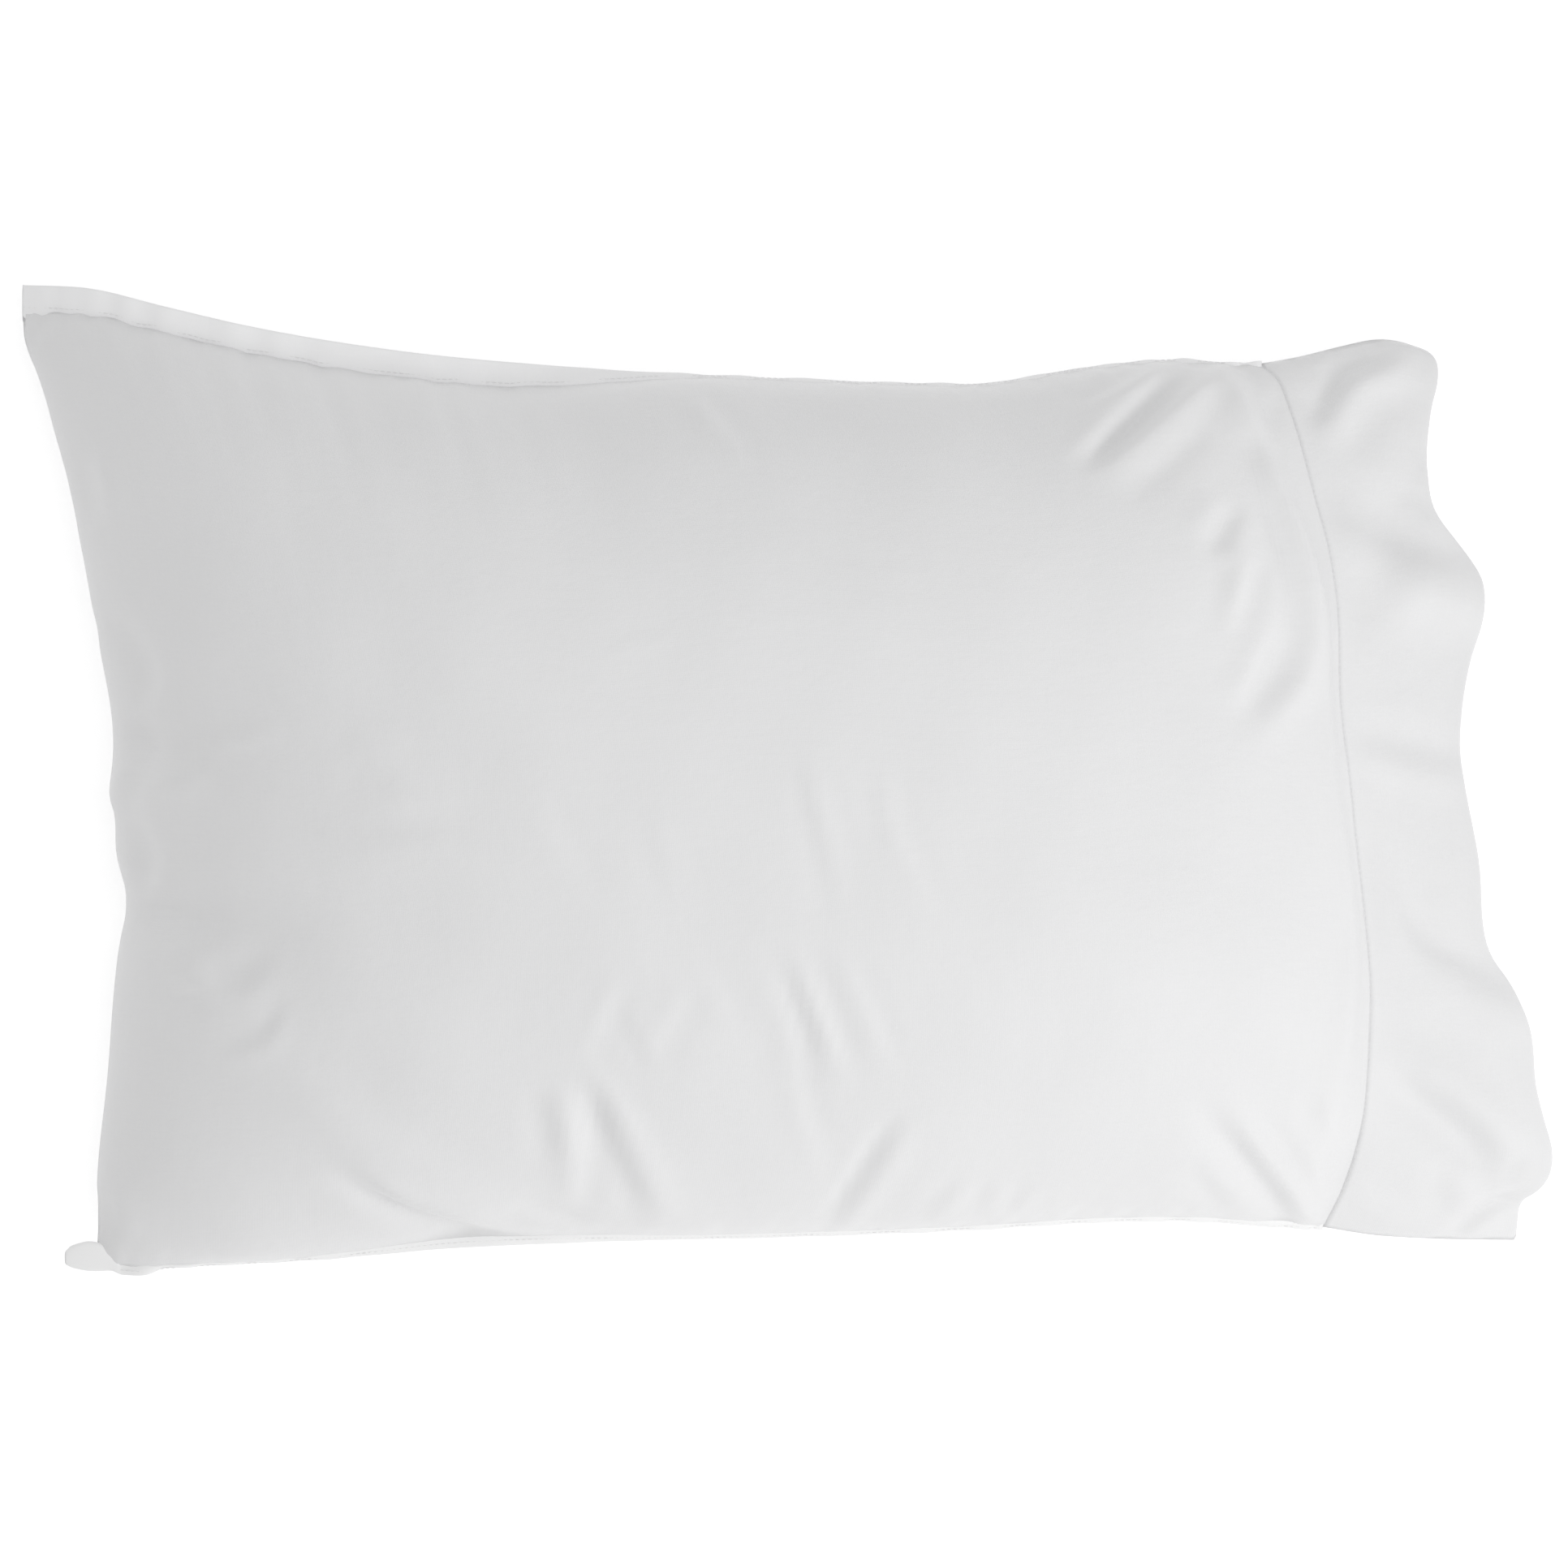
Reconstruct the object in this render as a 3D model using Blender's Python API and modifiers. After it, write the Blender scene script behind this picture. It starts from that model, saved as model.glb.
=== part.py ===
"""Bed pillow: a fibre-filled ticking pillow inside an open-ended case with a wide doubled hem.

Metres, +Z up. The pillow lies flat on Z = 0 with its length along X and its open end towards +X.
Every piece is a sheet laid over the case's plan. A place on the plan is given by `along`, 0 at the
closed end and 1 at the hem seam, and `across`, 0 at the near long edge (-Y) and 1 at the far one.
"""

import math

import bmesh
import bpy

OBJECT_NAME = "bed_pillow"
CLEARANCE = 0.0003

# Plan of the case, seen from above: its outline, read from the closed end to the mouth
FAR_EDGE = (
    (-0.382, 0.247), (-0.348, 0.245), (-0.271, 0.226), (-0.190, 0.212), (-0.109, 0.2045),
    (-0.008, 0.199), (0.092, 0.196), (0.146, 0.2045), (0.195, 0.209), (0.234, 0.207),
)
NEAR_EDGE = (
    (-0.352, -0.247), (-0.291, -0.243), (-0.230, -0.239), (-0.109, -0.230),
    (-0.008, -0.2275), (0.094, -0.224), (0.207, -0.2205), (0.267, -0.225),
)
CLOSED_END = (
    (-0.352, -0.247), (-0.3445, -0.209), (-0.340, -0.150), (-0.3315, -0.073), (-0.329, -0.058),
    (-0.3335, -0.032), (-0.335, 0.0), (-0.3355, 0.032), (-0.343, 0.077), (-0.354, 0.138),
    (-0.366, 0.188), (-0.374, 0.215), (-0.382, 0.247),
)
HEM_LINE = (
    (0.267, -0.225), (0.276, -0.211), (0.284, -0.178), (0.288, -0.138), (0.288, -0.109),
    (0.284, -0.069), (0.278, -0.012), (0.2725, 0.036), (0.270, 0.091), (0.256, 0.158),
    (0.248, 0.186), (0.234, 0.207),
)
MOUTH_LINE = (
    (0.366, -0.231), (0.378, -0.204), (0.3825, -0.190), (0.373, -0.154), (0.366, -0.113),
    (0.352, -0.090), (0.3435, -0.040), (0.335, 0.022), (0.341, 0.060), (0.347, 0.091),
    (0.3226, 0.135), (0.319, 0.162), (0.325, 0.200), (0.3206, 0.2147),
)
CUFF_FAR_EDGE = ((0.234, 0.207), (0.280, 0.2167), (0.304, 0.2195), (0.3206, 0.2147))
CUFF_NEAR_EDGE = ((0.267, -0.225), (0.300, -0.228), (0.366, -0.231))

# Heights
CROWN = 0.098  # top of the pillow above its side seams
BELLY = 0.105  # fullness below the side seams, before the table flattens it
SEAM_HEIGHT = 0.062  # side seams above the table, halfway along
CLOSED_END_HEIGHT = 0.030
CORNER_DROOP = 0.016  # how much lower the closed end's corners hang
HEM_SEAM_HEIGHT = 0.030
MOUTH_SEAM_HEIGHT = 0.019
HEM_FULLNESS = 0.36  # share of the crown that is left at the hem seam
MOUTH_CROWN = 0.024
MOUTH_BELLY = 0.014
CUFF_FLOOR = 0.003

# Shape of the loft, as powers of a superellipse
ACROSS_POWER = 2.5
ALONG_POWER = 3.0
EDGE_POWER = 0.62

# Cloth
CASE_WALL = 0.0020
HEM_WALL = 0.0030
TICKING_WALL = 0.0016
SEAM_FLAP_WIDTH = 0.011  # flattened seam allowance at the closed end
SEAM_WIDTH = 0.005
SEAM_TUCKED_WIDTH = 0.0012
SEAM_THICKNESS = 0.0024
THREAD_RADIUS = 0.0004
PIPING_RADIUS = 0.0022
LABEL_INSET = 0.006  # where a flat label clears the cloth that curves in beside its seam

# Pillow inside the case
PILLOW_START = 0.035
PILLOW_END = 0.955
PILLOW_MARGIN = 0.024  # in from the case's long edges
PILLOW_EASE = 0.0025  # between the pillow and the cloth over it
FILL_EASE = 0.0010

BODY_STEPS = 26  # along the body, the same for its cloth and its side seams so that their edges match
ACROSS_STEPS = 20  # across the body and the hem, which meet
TICKING_STEPS_ALONG, TICKING_STEPS_ACROSS = 18, 14
HEM_DEPTH = 0.080
NOMINAL_WIDTH = 0.430
NOMINAL_LENGTH = 0.620


def clear_scene():
    for item in list(bpy.data.objects):
        bpy.data.objects.remove(item, do_unlink=True)


def new_collection(name):
    collection = bpy.data.collections.new(name)
    bpy.context.scene.collection.children.link(collection)
    return collection


def material(name, colour, roughness):
    made = bpy.data.materials.new(name)
    made.use_nodes = True
    shader = made.node_tree.nodes["Principled BSDF"]
    shader.inputs["Base Color"].default_value = (*colour, 1.0)
    shader.inputs["Roughness"].default_value = roughness
    shader.inputs["Metallic"].default_value = 0.0
    return made


def case_cotton():
    return material("case_cotton", (0.90, 0.90, 0.90), 0.75)


def seam_cotton():
    return material("seam_cotton", (0.92, 0.92, 0.92), 0.75)


def thread():
    return material("thread", (0.80, 0.80, 0.80), 0.60)


def ticking_cotton():
    return material("ticking_cotton", (0.93, 0.92, 0.89), 0.80)


def piping_cotton():
    return material("piping_cotton", (0.86, 0.85, 0.82), 0.75)


def fibre_fill():
    return material("fibre_fill", (0.95, 0.95, 0.94), 0.95)


def label_satin():
    return material("label_satin", (0.95, 0.95, 0.95), 0.40)


# Plan geometry


def curve_through(points):
    """A smooth curve through the points, as a function of 0 to 1 along its length."""
    stations = [0.0]
    for first, second in zip(points, points[1:]):
        stations.append(stations[-1] + math.dist(first, second))
    total = stations[-1]

    def slope(index):
        before, after = max(index - 1, 0), min(index + 1, len(points) - 1)
        span = stations[after] - stations[before]
        return [(b - a) / span for a, b in zip(points[before], points[after])]

    def at(share):
        reach = share * total
        index = 0
        while index < len(points) - 2 and stations[index + 1] < reach:
            index += 1
        span = stations[index + 1] - stations[index]
        t = (reach - stations[index]) / span
        start_weight, end_weight = 1 - t * t * (3 - 2 * t), t * t * (3 - 2 * t)
        out_weight, in_weight = t * (1 - t) ** 2 * span, t * t * (t - 1) * span
        out_slope, in_slope = slope(index), slope(index + 1)
        return tuple(
            start_weight * points[index][k]
            + end_weight * points[index + 1][k]
            + out_weight * out_slope[k]
            + in_weight * in_slope[k]
            for k in (0, 1)
        )

    return at


def patch(near, far, start, end):
    """A Coons patch between two long edges, whose ends are fitted to the edges' corners."""

    def fitted(curve, first_corner, last_corner):
        first_miss = [c - p for c, p in zip(first_corner, curve(0.0))]
        last_miss = [c - p for c, p in zip(last_corner, curve(1.0))]
        return lambda share: tuple(
            p + (1 - share) * a + share * b
            for p, a, b in zip(curve(share), first_miss, last_miss)
        )

    start = fitted(start, near(0.0), far(0.0))
    end = fitted(end, near(1.0), far(1.0))

    def at(along, across):
        corners = (near(0.0), near(1.0), far(0.0), far(1.0))
        edges = (near(along), far(along), start(across), end(across))
        return tuple(
            (1 - across) * edges[0][k]
            + across * edges[1][k]
            + (1 - along) * edges[2][k]
            + along * edges[3][k]
            - (1 - across) * ((1 - along) * corners[0][k] + along * corners[1][k])
            - across * ((1 - along) * corners[2][k] + along * corners[3][k])
            for k in (0, 1)
        )

    return at


def seam_width(along):
    """Width of the flattened seam allowance: widest at the closed end, tucked under at the hem."""
    flare = (SEAM_FLAP_WIDTH - SEAM_WIDTH) * max(0.0, 1 - along / 0.5) ** 1.5
    return SEAM_WIDTH + flare - (SEAM_WIDTH - SEAM_TUCKED_WIDTH) * along**12


def moved_in(curve, direction, extra):
    """The long edge moved in over the width of its seam allowance."""

    def at(along):
        x, y = curve(along)
        return x, y + direction * (seam_width(along) + extra)

    return at


far_outline = curve_through(FAR_EDGE)
near_outline = curve_through(NEAR_EDGE)
body_plan = patch(
    moved_in(near_outline, 1, CLEARANCE),
    moved_in(far_outline, -1, CLEARANCE),
    curve_through(CLOSED_END),
    curve_through(HEM_LINE),
)
hem_plan = patch(
    curve_through(CUFF_NEAR_EDGE),
    curve_through(CUFF_FAR_EDGE),
    curve_through(HEM_LINE),
    curve_through(MOUTH_LINE),
)


# Heights


def loft_across(across):
    return (1 - abs(2 * across - 1) ** ACROSS_POWER) ** EDGE_POWER


def loft_along(along, end_share):
    """Rises from the closed end, and falls to `end_share` at the other."""
    t = 2 * along - 1
    rise = (1 - abs(t) ** ALONG_POWER) ** EDGE_POWER
    return rise if t < 0 else end_share + (1 - end_share) * rise


def seam_surface(along, across):
    """Height of the surface that the top and bottom of every piece meet in."""
    t = 2 * along - 1
    end_height = CLOSED_END_HEIGHT if t < 0 else HEM_SEAM_HEIGHT
    droop = CORNER_DROOP * max(-t, 0.0) ** 6 * abs(2 * across - 1) ** 4
    return SEAM_HEIGHT - (SEAM_HEIGHT - end_height) * abs(t) ** 2.5 - droop


class Pillow:
    """A pillow-shaped surface nested in the case: `inset` is the cloth and air outside it."""

    def __init__(self, inset, start, end, margin, hem_fullness):
        self.inset, self.start, self.end, self.margin = inset, start, end, margin
        self.hem_fullness = hem_fullness

    def plan_place(self, along, across):
        margin = self.margin / NOMINAL_WIDTH
        return self.start + (self.end - self.start) * along, margin + (1 - 2 * margin) * across

    def loft(self, along, across):
        return loft_along(along, self.hem_fullness) * loft_across(across)

    def top(self, along, across, lift=0.0):
        place = self.plan_place(along, across)
        height = seam_surface(*place) + (CROWN - self.inset) * self.loft(along, across)
        return *body_plan(*place), height + lift

    def bottom(self, along, across, lift=0.0):
        place = self.plan_place(along, across)
        height = seam_surface(*place) - (BELLY - self.inset) * self.loft(along, across)
        return *body_plan(*place), max(self.inset, height - lift)


class Hem:
    """A loop of cloth from the hem seam to the mouth, `inset` in from the outer surface."""

    def __init__(self, inset, start=0.0, end=1.0):
        self.inset, self.start, self.end = inset, start, end

    def place(self, along, across):
        margin = self.inset / NOMINAL_WIDTH
        along = self.start + (self.end - self.start) * along
        x, y = hem_plan(along, margin + (1 - 2 * margin) * across)
        return x, y, HEM_SEAM_HEIGHT + (MOUTH_SEAM_HEIGHT - HEM_SEAM_HEIGHT) * along, along

    def top(self, along, across):
        x, y, seam, along = self.place(along, across)
        crown = CROWN * HEM_FULLNESS * (1 - along) ** 1.4 + MOUTH_CROWN * (1 - (1 - along) ** 1.4)
        return x, y, seam + (crown - self.inset) * loft_across(across)

    def bottom(self, along, across):
        x, y, seam, along = self.place(along, across)
        belly = BELLY * HEM_FULLNESS + (MOUTH_BELLY - BELLY * HEM_FULLNESS) * along
        height = seam - (belly - self.inset) * loft_across(across)
        return x, y, max(CUFF_FLOOR + self.inset, height)


# Meshes


def eased(share):
    """Packs the steps of a sheet closer together towards both of its edges."""
    return (1 - math.cos(math.pi * share)) / 2


def sheet(mesh, surface, steps_along, steps_across, places):
    """Adds a grid laid over the surface, and remembers where each vertex lies along it."""
    added = bmesh.ops.create_grid(
        mesh, x_segments=steps_along, y_segments=steps_across, size=0.5
    )["verts"]
    for vertex in added:
        along, across = eased(vertex.co.x + 0.5), eased(vertex.co.y + 0.5)
        vertex[places] = along
        vertex.co = surface(along, across)


def rim(mesh, places, wanted):
    """Open edges whose two ends both lie where `wanted` says."""
    return [
        edge
        for edge in mesh.edges
        if edge.is_boundary and all(wanted(vertex[places]) for vertex in edge.verts)
    ]


def sewn(mesh):
    bmesh.ops.remove_doubles(mesh, verts=mesh.verts, dist=1e-6)


def finished(mesh, name, look, collection):
    bmesh.ops.recalc_face_normals(mesh, faces=mesh.faces)
    if mesh.calc_volume(signed=True) < 0:
        bmesh.ops.reverse_faces(mesh, faces=mesh.faces)
    data = bpy.data.meshes.new(name)
    mesh.to_mesh(data)
    mesh.free()
    data.shade_smooth()
    data.set_sharp_from_angle(angle=math.radians(50))
    made = bpy.data.objects.new(name, data)
    made.data.materials.append(look)
    collection.objects.link(made)
    return made


def bag(outer, inner, steps_along, steps_across):
    """A folded cloth with real thickness: two nested pairs of sheets, joined at their open ends."""
    mesh = bmesh.new()
    places = mesh.verts.layers.float.new("along")
    for surface in (outer.top, outer.bottom, inner.top, inner.bottom):
        sheet(mesh, surface, steps_along, steps_across, places)
    sewn(mesh)
    for wanted in (lambda along: along < 1e-4, lambda along: along > 1 - 1e-4):
        open_edges = rim(mesh, places, wanted)
        if open_edges:
            bmesh.ops.bridge_loops(mesh, edges=open_edges)
    return mesh


def closed_pillow(form, steps_along, steps_across):
    mesh = bmesh.new()
    places = mesh.verts.layers.float.new("along")
    for surface in (form.top, form.bottom):
        sheet(mesh, surface, steps_along, steps_across, places)
    sewn(mesh)
    return mesh


def panel(outer_surface, inner_surface, steps_along, steps_across):
    """One domed panel of cloth with real thickness."""
    mesh = bmesh.new()
    places = mesh.verts.layers.float.new("along")
    for surface in (outer_surface, inner_surface):
        sheet(mesh, surface, steps_along, steps_across, places)
    bmesh.ops.bridge_loops(mesh, edges=[edge for edge in mesh.edges if edge.is_boundary])
    return mesh


def cord(name, route, radius, look, collection, closed=False, sides_level=0):
    """A round cord or thread along the route."""
    data = bpy.data.curves.new(name, "CURVE")
    data.dimensions = "3D"
    data.bevel_depth = radius
    data.bevel_resolution = sides_level
    data.use_fill_caps = not closed
    spline = data.splines.new("POLY")
    spline.points.add(len(route) - 1)
    for point, place in zip(spline.points, route):
        point.co = (*place, 1.0)
    spline.use_cyclic_u = closed
    made = bpy.data.objects.new(name, data)
    data.materials.append(look)
    collection.objects.link(made)
    return made


def shares(count, first=0.0, last=1.0):
    return [first + (last - first) * step / (count - 1) for step in range(count)]


# Pieces of the case


def case_body(collection):
    """The case's main cloth, folded at the closed end and open at the hem."""
    outer = Pillow(0.0, 0.0, 1.0, 0.0, HEM_FULLNESS)
    inner_fullness = (CROWN * HEM_FULLNESS - CASE_WALL) / (CROWN - CASE_WALL)
    inner = Pillow(CASE_WALL, CASE_WALL / NOMINAL_LENGTH, 1.0, 2 * CASE_WALL, inner_fullness)
    return finished(bag(outer, inner, BODY_STEPS, ACROSS_STEPS), "case_body", case_cotton(), collection)


def hem_cuff(collection):
    """The doubled hem band, starting a hair's breadth from the body's open edge."""
    start = 2 * CLEARANCE / HEM_DEPTH
    mesh = bag(Hem(0.0, start), Hem(HEM_WALL, start), 6, ACROSS_STEPS)
    return finished(mesh, "hem_cuff", case_cotton(), collection)


def side_seam(name, outline, direction, across, collection):
    """A flat strip of folded cloth outside one long edge of the body."""
    mesh = bmesh.new()
    added = bmesh.ops.create_grid(mesh, x_segments=BODY_STEPS, y_segments=1, size=0.5)["verts"]
    for vertex in added:
        along = eased(vertex.co.x + 0.5)
        x, y = outline(along)
        y += direction * seam_width(along) * (0.5 - vertex.co.y)
        vertex.co = (x, y, seam_surface(along, across))
    strip = finished(mesh, name, seam_cotton(), collection)
    solidify = strip.modifiers.new("cloth_plies", "SOLIDIFY")
    solidify.thickness = SEAM_THICKNESS
    solidify.offset = 0.0
    return strip


def seam_thread(name, outline, direction, across, collection):
    """The stitches along the middle of a side seam."""
    lift = SEAM_THICKNESS / 2 + CLEARANCE + THREAD_RADIUS
    route = []
    for along in shares(40, 0.01, 0.99):
        x, y = outline(along)
        y += direction * seam_width(along) * 0.45
        route.append((x, y, seam_surface(along, across) + lift))
    return cord(name, route, THREAD_RADIUS, thread(), collection)


def hem_thread(collection):
    """The stitches round the case beside the hem seam."""
    around = Hem(-(CLEARANCE + 3 * THREAD_RADIUS))
    beside_seam = 0.05
    steps = [eased(share) for share in shares(30)]
    route = [around.top(beside_seam, across) for across in steps]
    route += [around.bottom(beside_seam, across) for across in reversed(steps[1:-1])]
    return cord("hem_stitching", route, THREAD_RADIUS, thread(), collection, closed=True)


def label(name, centre, size, collection):
    """A small flat label of folded satin ribbon."""
    mesh = bmesh.new()
    bmesh.ops.create_cube(mesh, size=1.0)
    for vertex in mesh.verts:
        vertex.co = [c * s for c, s in zip(vertex.co, size)]
    made = finished(mesh, name, label_satin(), collection)
    made.location = centre
    return made


def case_label(collection):
    """Care label, sewn into the near side of the hem just inside the mouth."""
    width, length, thickness = 0.022, 0.028, 0.0006
    x, y, z = Hem(HEM_WALL).top(0.45, 0.0)
    centre = (x, y + LABEL_INSET + length / 2, z)
    return label("case_label", centre, (width, length, thickness), collection)


# Pieces of the pillow inside


def pillow_form(depth=0.0):
    """The pillow's outer surface, or one `depth` inside it."""
    shift = depth / NOMINAL_LENGTH
    return Pillow(
        CASE_WALL + PILLOW_EASE + depth,
        PILLOW_START + shift,
        PILLOW_END - shift,
        PILLOW_MARGIN + depth,
        0.0,
    )


def ticking_panels(collection):
    """The pillow's own shell, a top and a bottom panel that meet at the piped edge."""
    outer, inner = pillow_form(), pillow_form(TICKING_WALL)
    half_gap = CLEARANCE / 2

    def lifted(surface):
        return lambda along, across: surface(along, across, half_gap)

    for name, outside, inside in (
        ("ticking_top", outer.top, inner.top),
        ("ticking_bottom", outer.bottom, inner.bottom),
    ):
        mesh = panel(lifted(outside), lifted(inside), TICKING_STEPS_ALONG, TICKING_STEPS_ACROSS)
        finished(mesh, name, ticking_cotton(), collection)


def fill_core(collection):
    """The fibre fill, a closed pillow shape inside the ticking."""
    form = pillow_form(TICKING_WALL + FILL_EASE)
    mesh = closed_pillow(form, TICKING_STEPS_ALONG, TICKING_STEPS_ACROSS)
    return finished(mesh, "fill_core", fibre_fill(), collection)


def edge_piping(collection):
    """A cord round the pillow's edge, between the ticking panels."""
    form = pillow_form(-(PIPING_RADIUS + 2 * CLEARANCE))
    run_along = [eased(step / TICKING_STEPS_ALONG) for step in range(TICKING_STEPS_ALONG)]
    run_across = [eased(step / TICKING_STEPS_ACROSS) for step in range(TICKING_STEPS_ACROSS)]
    route = [form.top(along, 0.0) for along in run_along]
    route += [form.top(1.0, across) for across in run_across]
    route += [form.top(1.0 - along, 1.0) for along in run_along]
    route += [form.top(0.0, 1.0 - across) for across in run_across]
    return cord("edge_piping", route, PIPING_RADIUS, piping_cotton(), collection, True, 1)


def closing_thread(collection):
    """The line of stitches that closes the ticking at the mouth end, after filling."""
    form = pillow_form(-(CLEARANCE + 3 * THREAD_RADIUS))
    route = [form.top(0.975, across) for across in shares(20, 0.30, 0.70)]
    return cord("closing_stitching", route, THREAD_RADIUS, thread(), collection)


def insert_label(collection):
    """Fibre-content label, sewn into the pillow's end seam near its far corner."""
    length, width, thickness = 0.030, 0.040, 0.0006
    x, y, z = pillow_form(-(2 * PIPING_RADIUS + 2 * CLEARANCE)).top(1.0, 0.82)
    centre = (x + LABEL_INSET + length / 2, y, z)
    return label("insert_label", centre, (length, width, thickness), collection)


def build():
    clear_scene()
    parts = new_collection(OBJECT_NAME)
    case_body(parts)
    hem_cuff(parts)
    for side, outline, direction, across in (
        ("far", far_outline, -1, 1.0),
        ("near", near_outline, 1, 0.0),
    ):
        side_seam(f"{side}_side_seam", outline, direction, across, parts)
        seam_thread(f"{side}_seam_stitching", outline, direction, across, parts)
    hem_thread(parts)
    case_label(parts)
    ticking_panels(parts)
    fill_core(parts)
    edge_piping(parts)
    closing_thread(parts)
    insert_label(parts)


build()
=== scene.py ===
"""The looks of a bed pillow: a white cotton case with a wide hem, and the piped pillow inside it.

Metres, +Z up, in the CAD frame. A place on the case is given by `along`, 0 at the closed end and 1 at
the hem seam, and `across`, 0 at the near long edge (-Y) and 1 at the far one (+Y).
"""

import math

import bmesh
import bpy
import numpy as np
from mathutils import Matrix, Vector


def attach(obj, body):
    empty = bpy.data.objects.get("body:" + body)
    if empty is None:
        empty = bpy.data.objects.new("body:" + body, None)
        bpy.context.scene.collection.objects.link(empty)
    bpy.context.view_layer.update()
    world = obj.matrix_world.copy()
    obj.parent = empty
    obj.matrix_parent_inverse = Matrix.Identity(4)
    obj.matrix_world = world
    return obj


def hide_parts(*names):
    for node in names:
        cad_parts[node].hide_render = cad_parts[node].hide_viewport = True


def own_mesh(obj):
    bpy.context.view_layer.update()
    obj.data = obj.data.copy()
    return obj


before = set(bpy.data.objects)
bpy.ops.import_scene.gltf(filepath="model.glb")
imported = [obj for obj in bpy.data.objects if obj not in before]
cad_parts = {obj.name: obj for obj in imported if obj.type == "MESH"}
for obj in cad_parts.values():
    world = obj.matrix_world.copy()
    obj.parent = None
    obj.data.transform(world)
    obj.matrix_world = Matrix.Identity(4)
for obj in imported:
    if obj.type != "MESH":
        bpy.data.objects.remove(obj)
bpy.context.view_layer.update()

# ---------------------------------------------------------------- outline of the case, seen from above

FAR_EDGE = (
    (-0.382, 0.2475), (-0.348, 0.2450), (-0.310, 0.2355), (-0.271, 0.2260), (-0.190, 0.2122),
    (-0.109, 0.2045), (-0.008, 0.1993), (0.070, 0.1966), (0.096, 0.1966), (0.146, 0.2045),
    (0.195, 0.2094), (0.225, 0.2080), (0.237, 0.2085),
)
NEAR_EDGE = (
    (-0.346, -0.2440), (-0.320, -0.2452), (-0.291, -0.2430), (-0.230, -0.2390), (-0.170, -0.2330),
    (-0.109, -0.2300), (-0.008, -0.2276), (0.094, -0.2240), (0.160, -0.2205), (0.207, -0.2207),
    (0.240, -0.2235), (0.2675, -0.2255),
)
CLOSED_END = (
    (-0.3455, -0.2430), (-0.3445, -0.230), (-0.3445, -0.209), (-0.3396, -0.150), (-0.3315, -0.075),
    (-0.3287, -0.058), (-0.3335, -0.032), (-0.3351, -0.004), (-0.3355, 0.0324), (-0.3428, 0.077),
    (-0.3538, 0.138), (-0.3659, 0.188), (-0.3740, 0.215), (-0.3801, 0.231), (-0.3815, 0.2475),
)
HEM_LINE = (
    (0.2675, -0.2250), (0.2755, -0.2105), (0.2838, -0.1780), (0.2875, -0.1380), (0.2880, -0.1090),
    (0.2840, -0.0690), (0.2780, -0.0120), (0.2727, 0.0360), (0.2700, 0.0910), (0.2560, 0.1580),
    (0.2477, 0.1860), (0.2420, 0.2000), (0.2350, 0.2070),
)
MOUTH_LINE = (
    (0.3650, -0.2310), (0.3662, -0.2200), (0.3668, -0.2120), (0.3745, -0.2075), (0.3805, -0.2000),
    (0.3825, -0.1900), (0.3775, -0.1700), (0.3732, -0.1539), (0.3700, -0.1250), (0.3659, -0.1134),
    (0.3590, -0.0990), (0.3521, -0.0903), (0.3440, -0.0400), (0.3347, 0.0223), (0.3390, 0.0560),
    (0.3468, 0.0850), (0.3465, 0.0980), (0.3380, 0.1150), (0.3215, 0.1370), (0.3190, 0.1620),
    (0.3215, 0.1850), (0.3250, 0.2010), (0.3240, 0.2105), (0.3190, 0.2150),
)
CUFF_FAR_EDGE = (
    (0.2350, 0.2070), (0.2550, 0.2105), (0.2800, 0.2167), (0.2960, 0.2198), (0.3060, 0.2190),
    (0.3190, 0.2150),
)
CUFF_NEAR_EDGE = ((0.2675, -0.2255), (0.2900, -0.2270), (0.3330, -0.2300), (0.3650, -0.2310))

# Heights, the same as the CAD's but for the last, which lays the mouth's near corner on the table
CROWN = 0.098
BELLY = 0.105
SEAM_HEIGHT = 0.062
CLOSED_END_HEIGHT = 0.030
CORNER_DROOP = 0.016
HEM_SEAM_HEIGHT = 0.030
MOUTH_SEAM_HEIGHT = 0.019
HEM_FULLNESS = 0.36
MOUTH_CROWN = 0.024
MOUTH_BELLY = 0.014
CUFF_FLOOR = 0.003
ACROSS_POWER = 2.5
ALONG_POWER = 3.0
EDGE_POWER = 0.62
NEAR_CORNER_DROP = 0.015

# The cloth as it was cut, for one side of the case
FLAT_BODY_LENGTH = 0.660
FLAT_HEM_DEPTH = 0.095
FLAT_WIDTH = 0.508

BODY_STEPS, CUFF_STEPS, ACROSS_STEPS = 88, 14, 66

# The seam allowances: how much of each shows from above, where it lies flat and where it folds down
FAR_BAND_WIDTH, FAR_BAND_FOLDED_WIDTH = 0.0128, 0.0013
NEAR_BAND_WIDTH, NEAR_BAND_FOLDED_WIDTH = 0.0044, 0.0010
FAR_BAND_NARROWS = (0.36, 0.58)  # along the far edge, where what shows of it shrinks
FAR_BAND_TURNS = (0.40, 0.60)  # and where it turns down
FAR_RIDGE_TURN = 0.6  # radians that it has turned down by then

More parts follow.
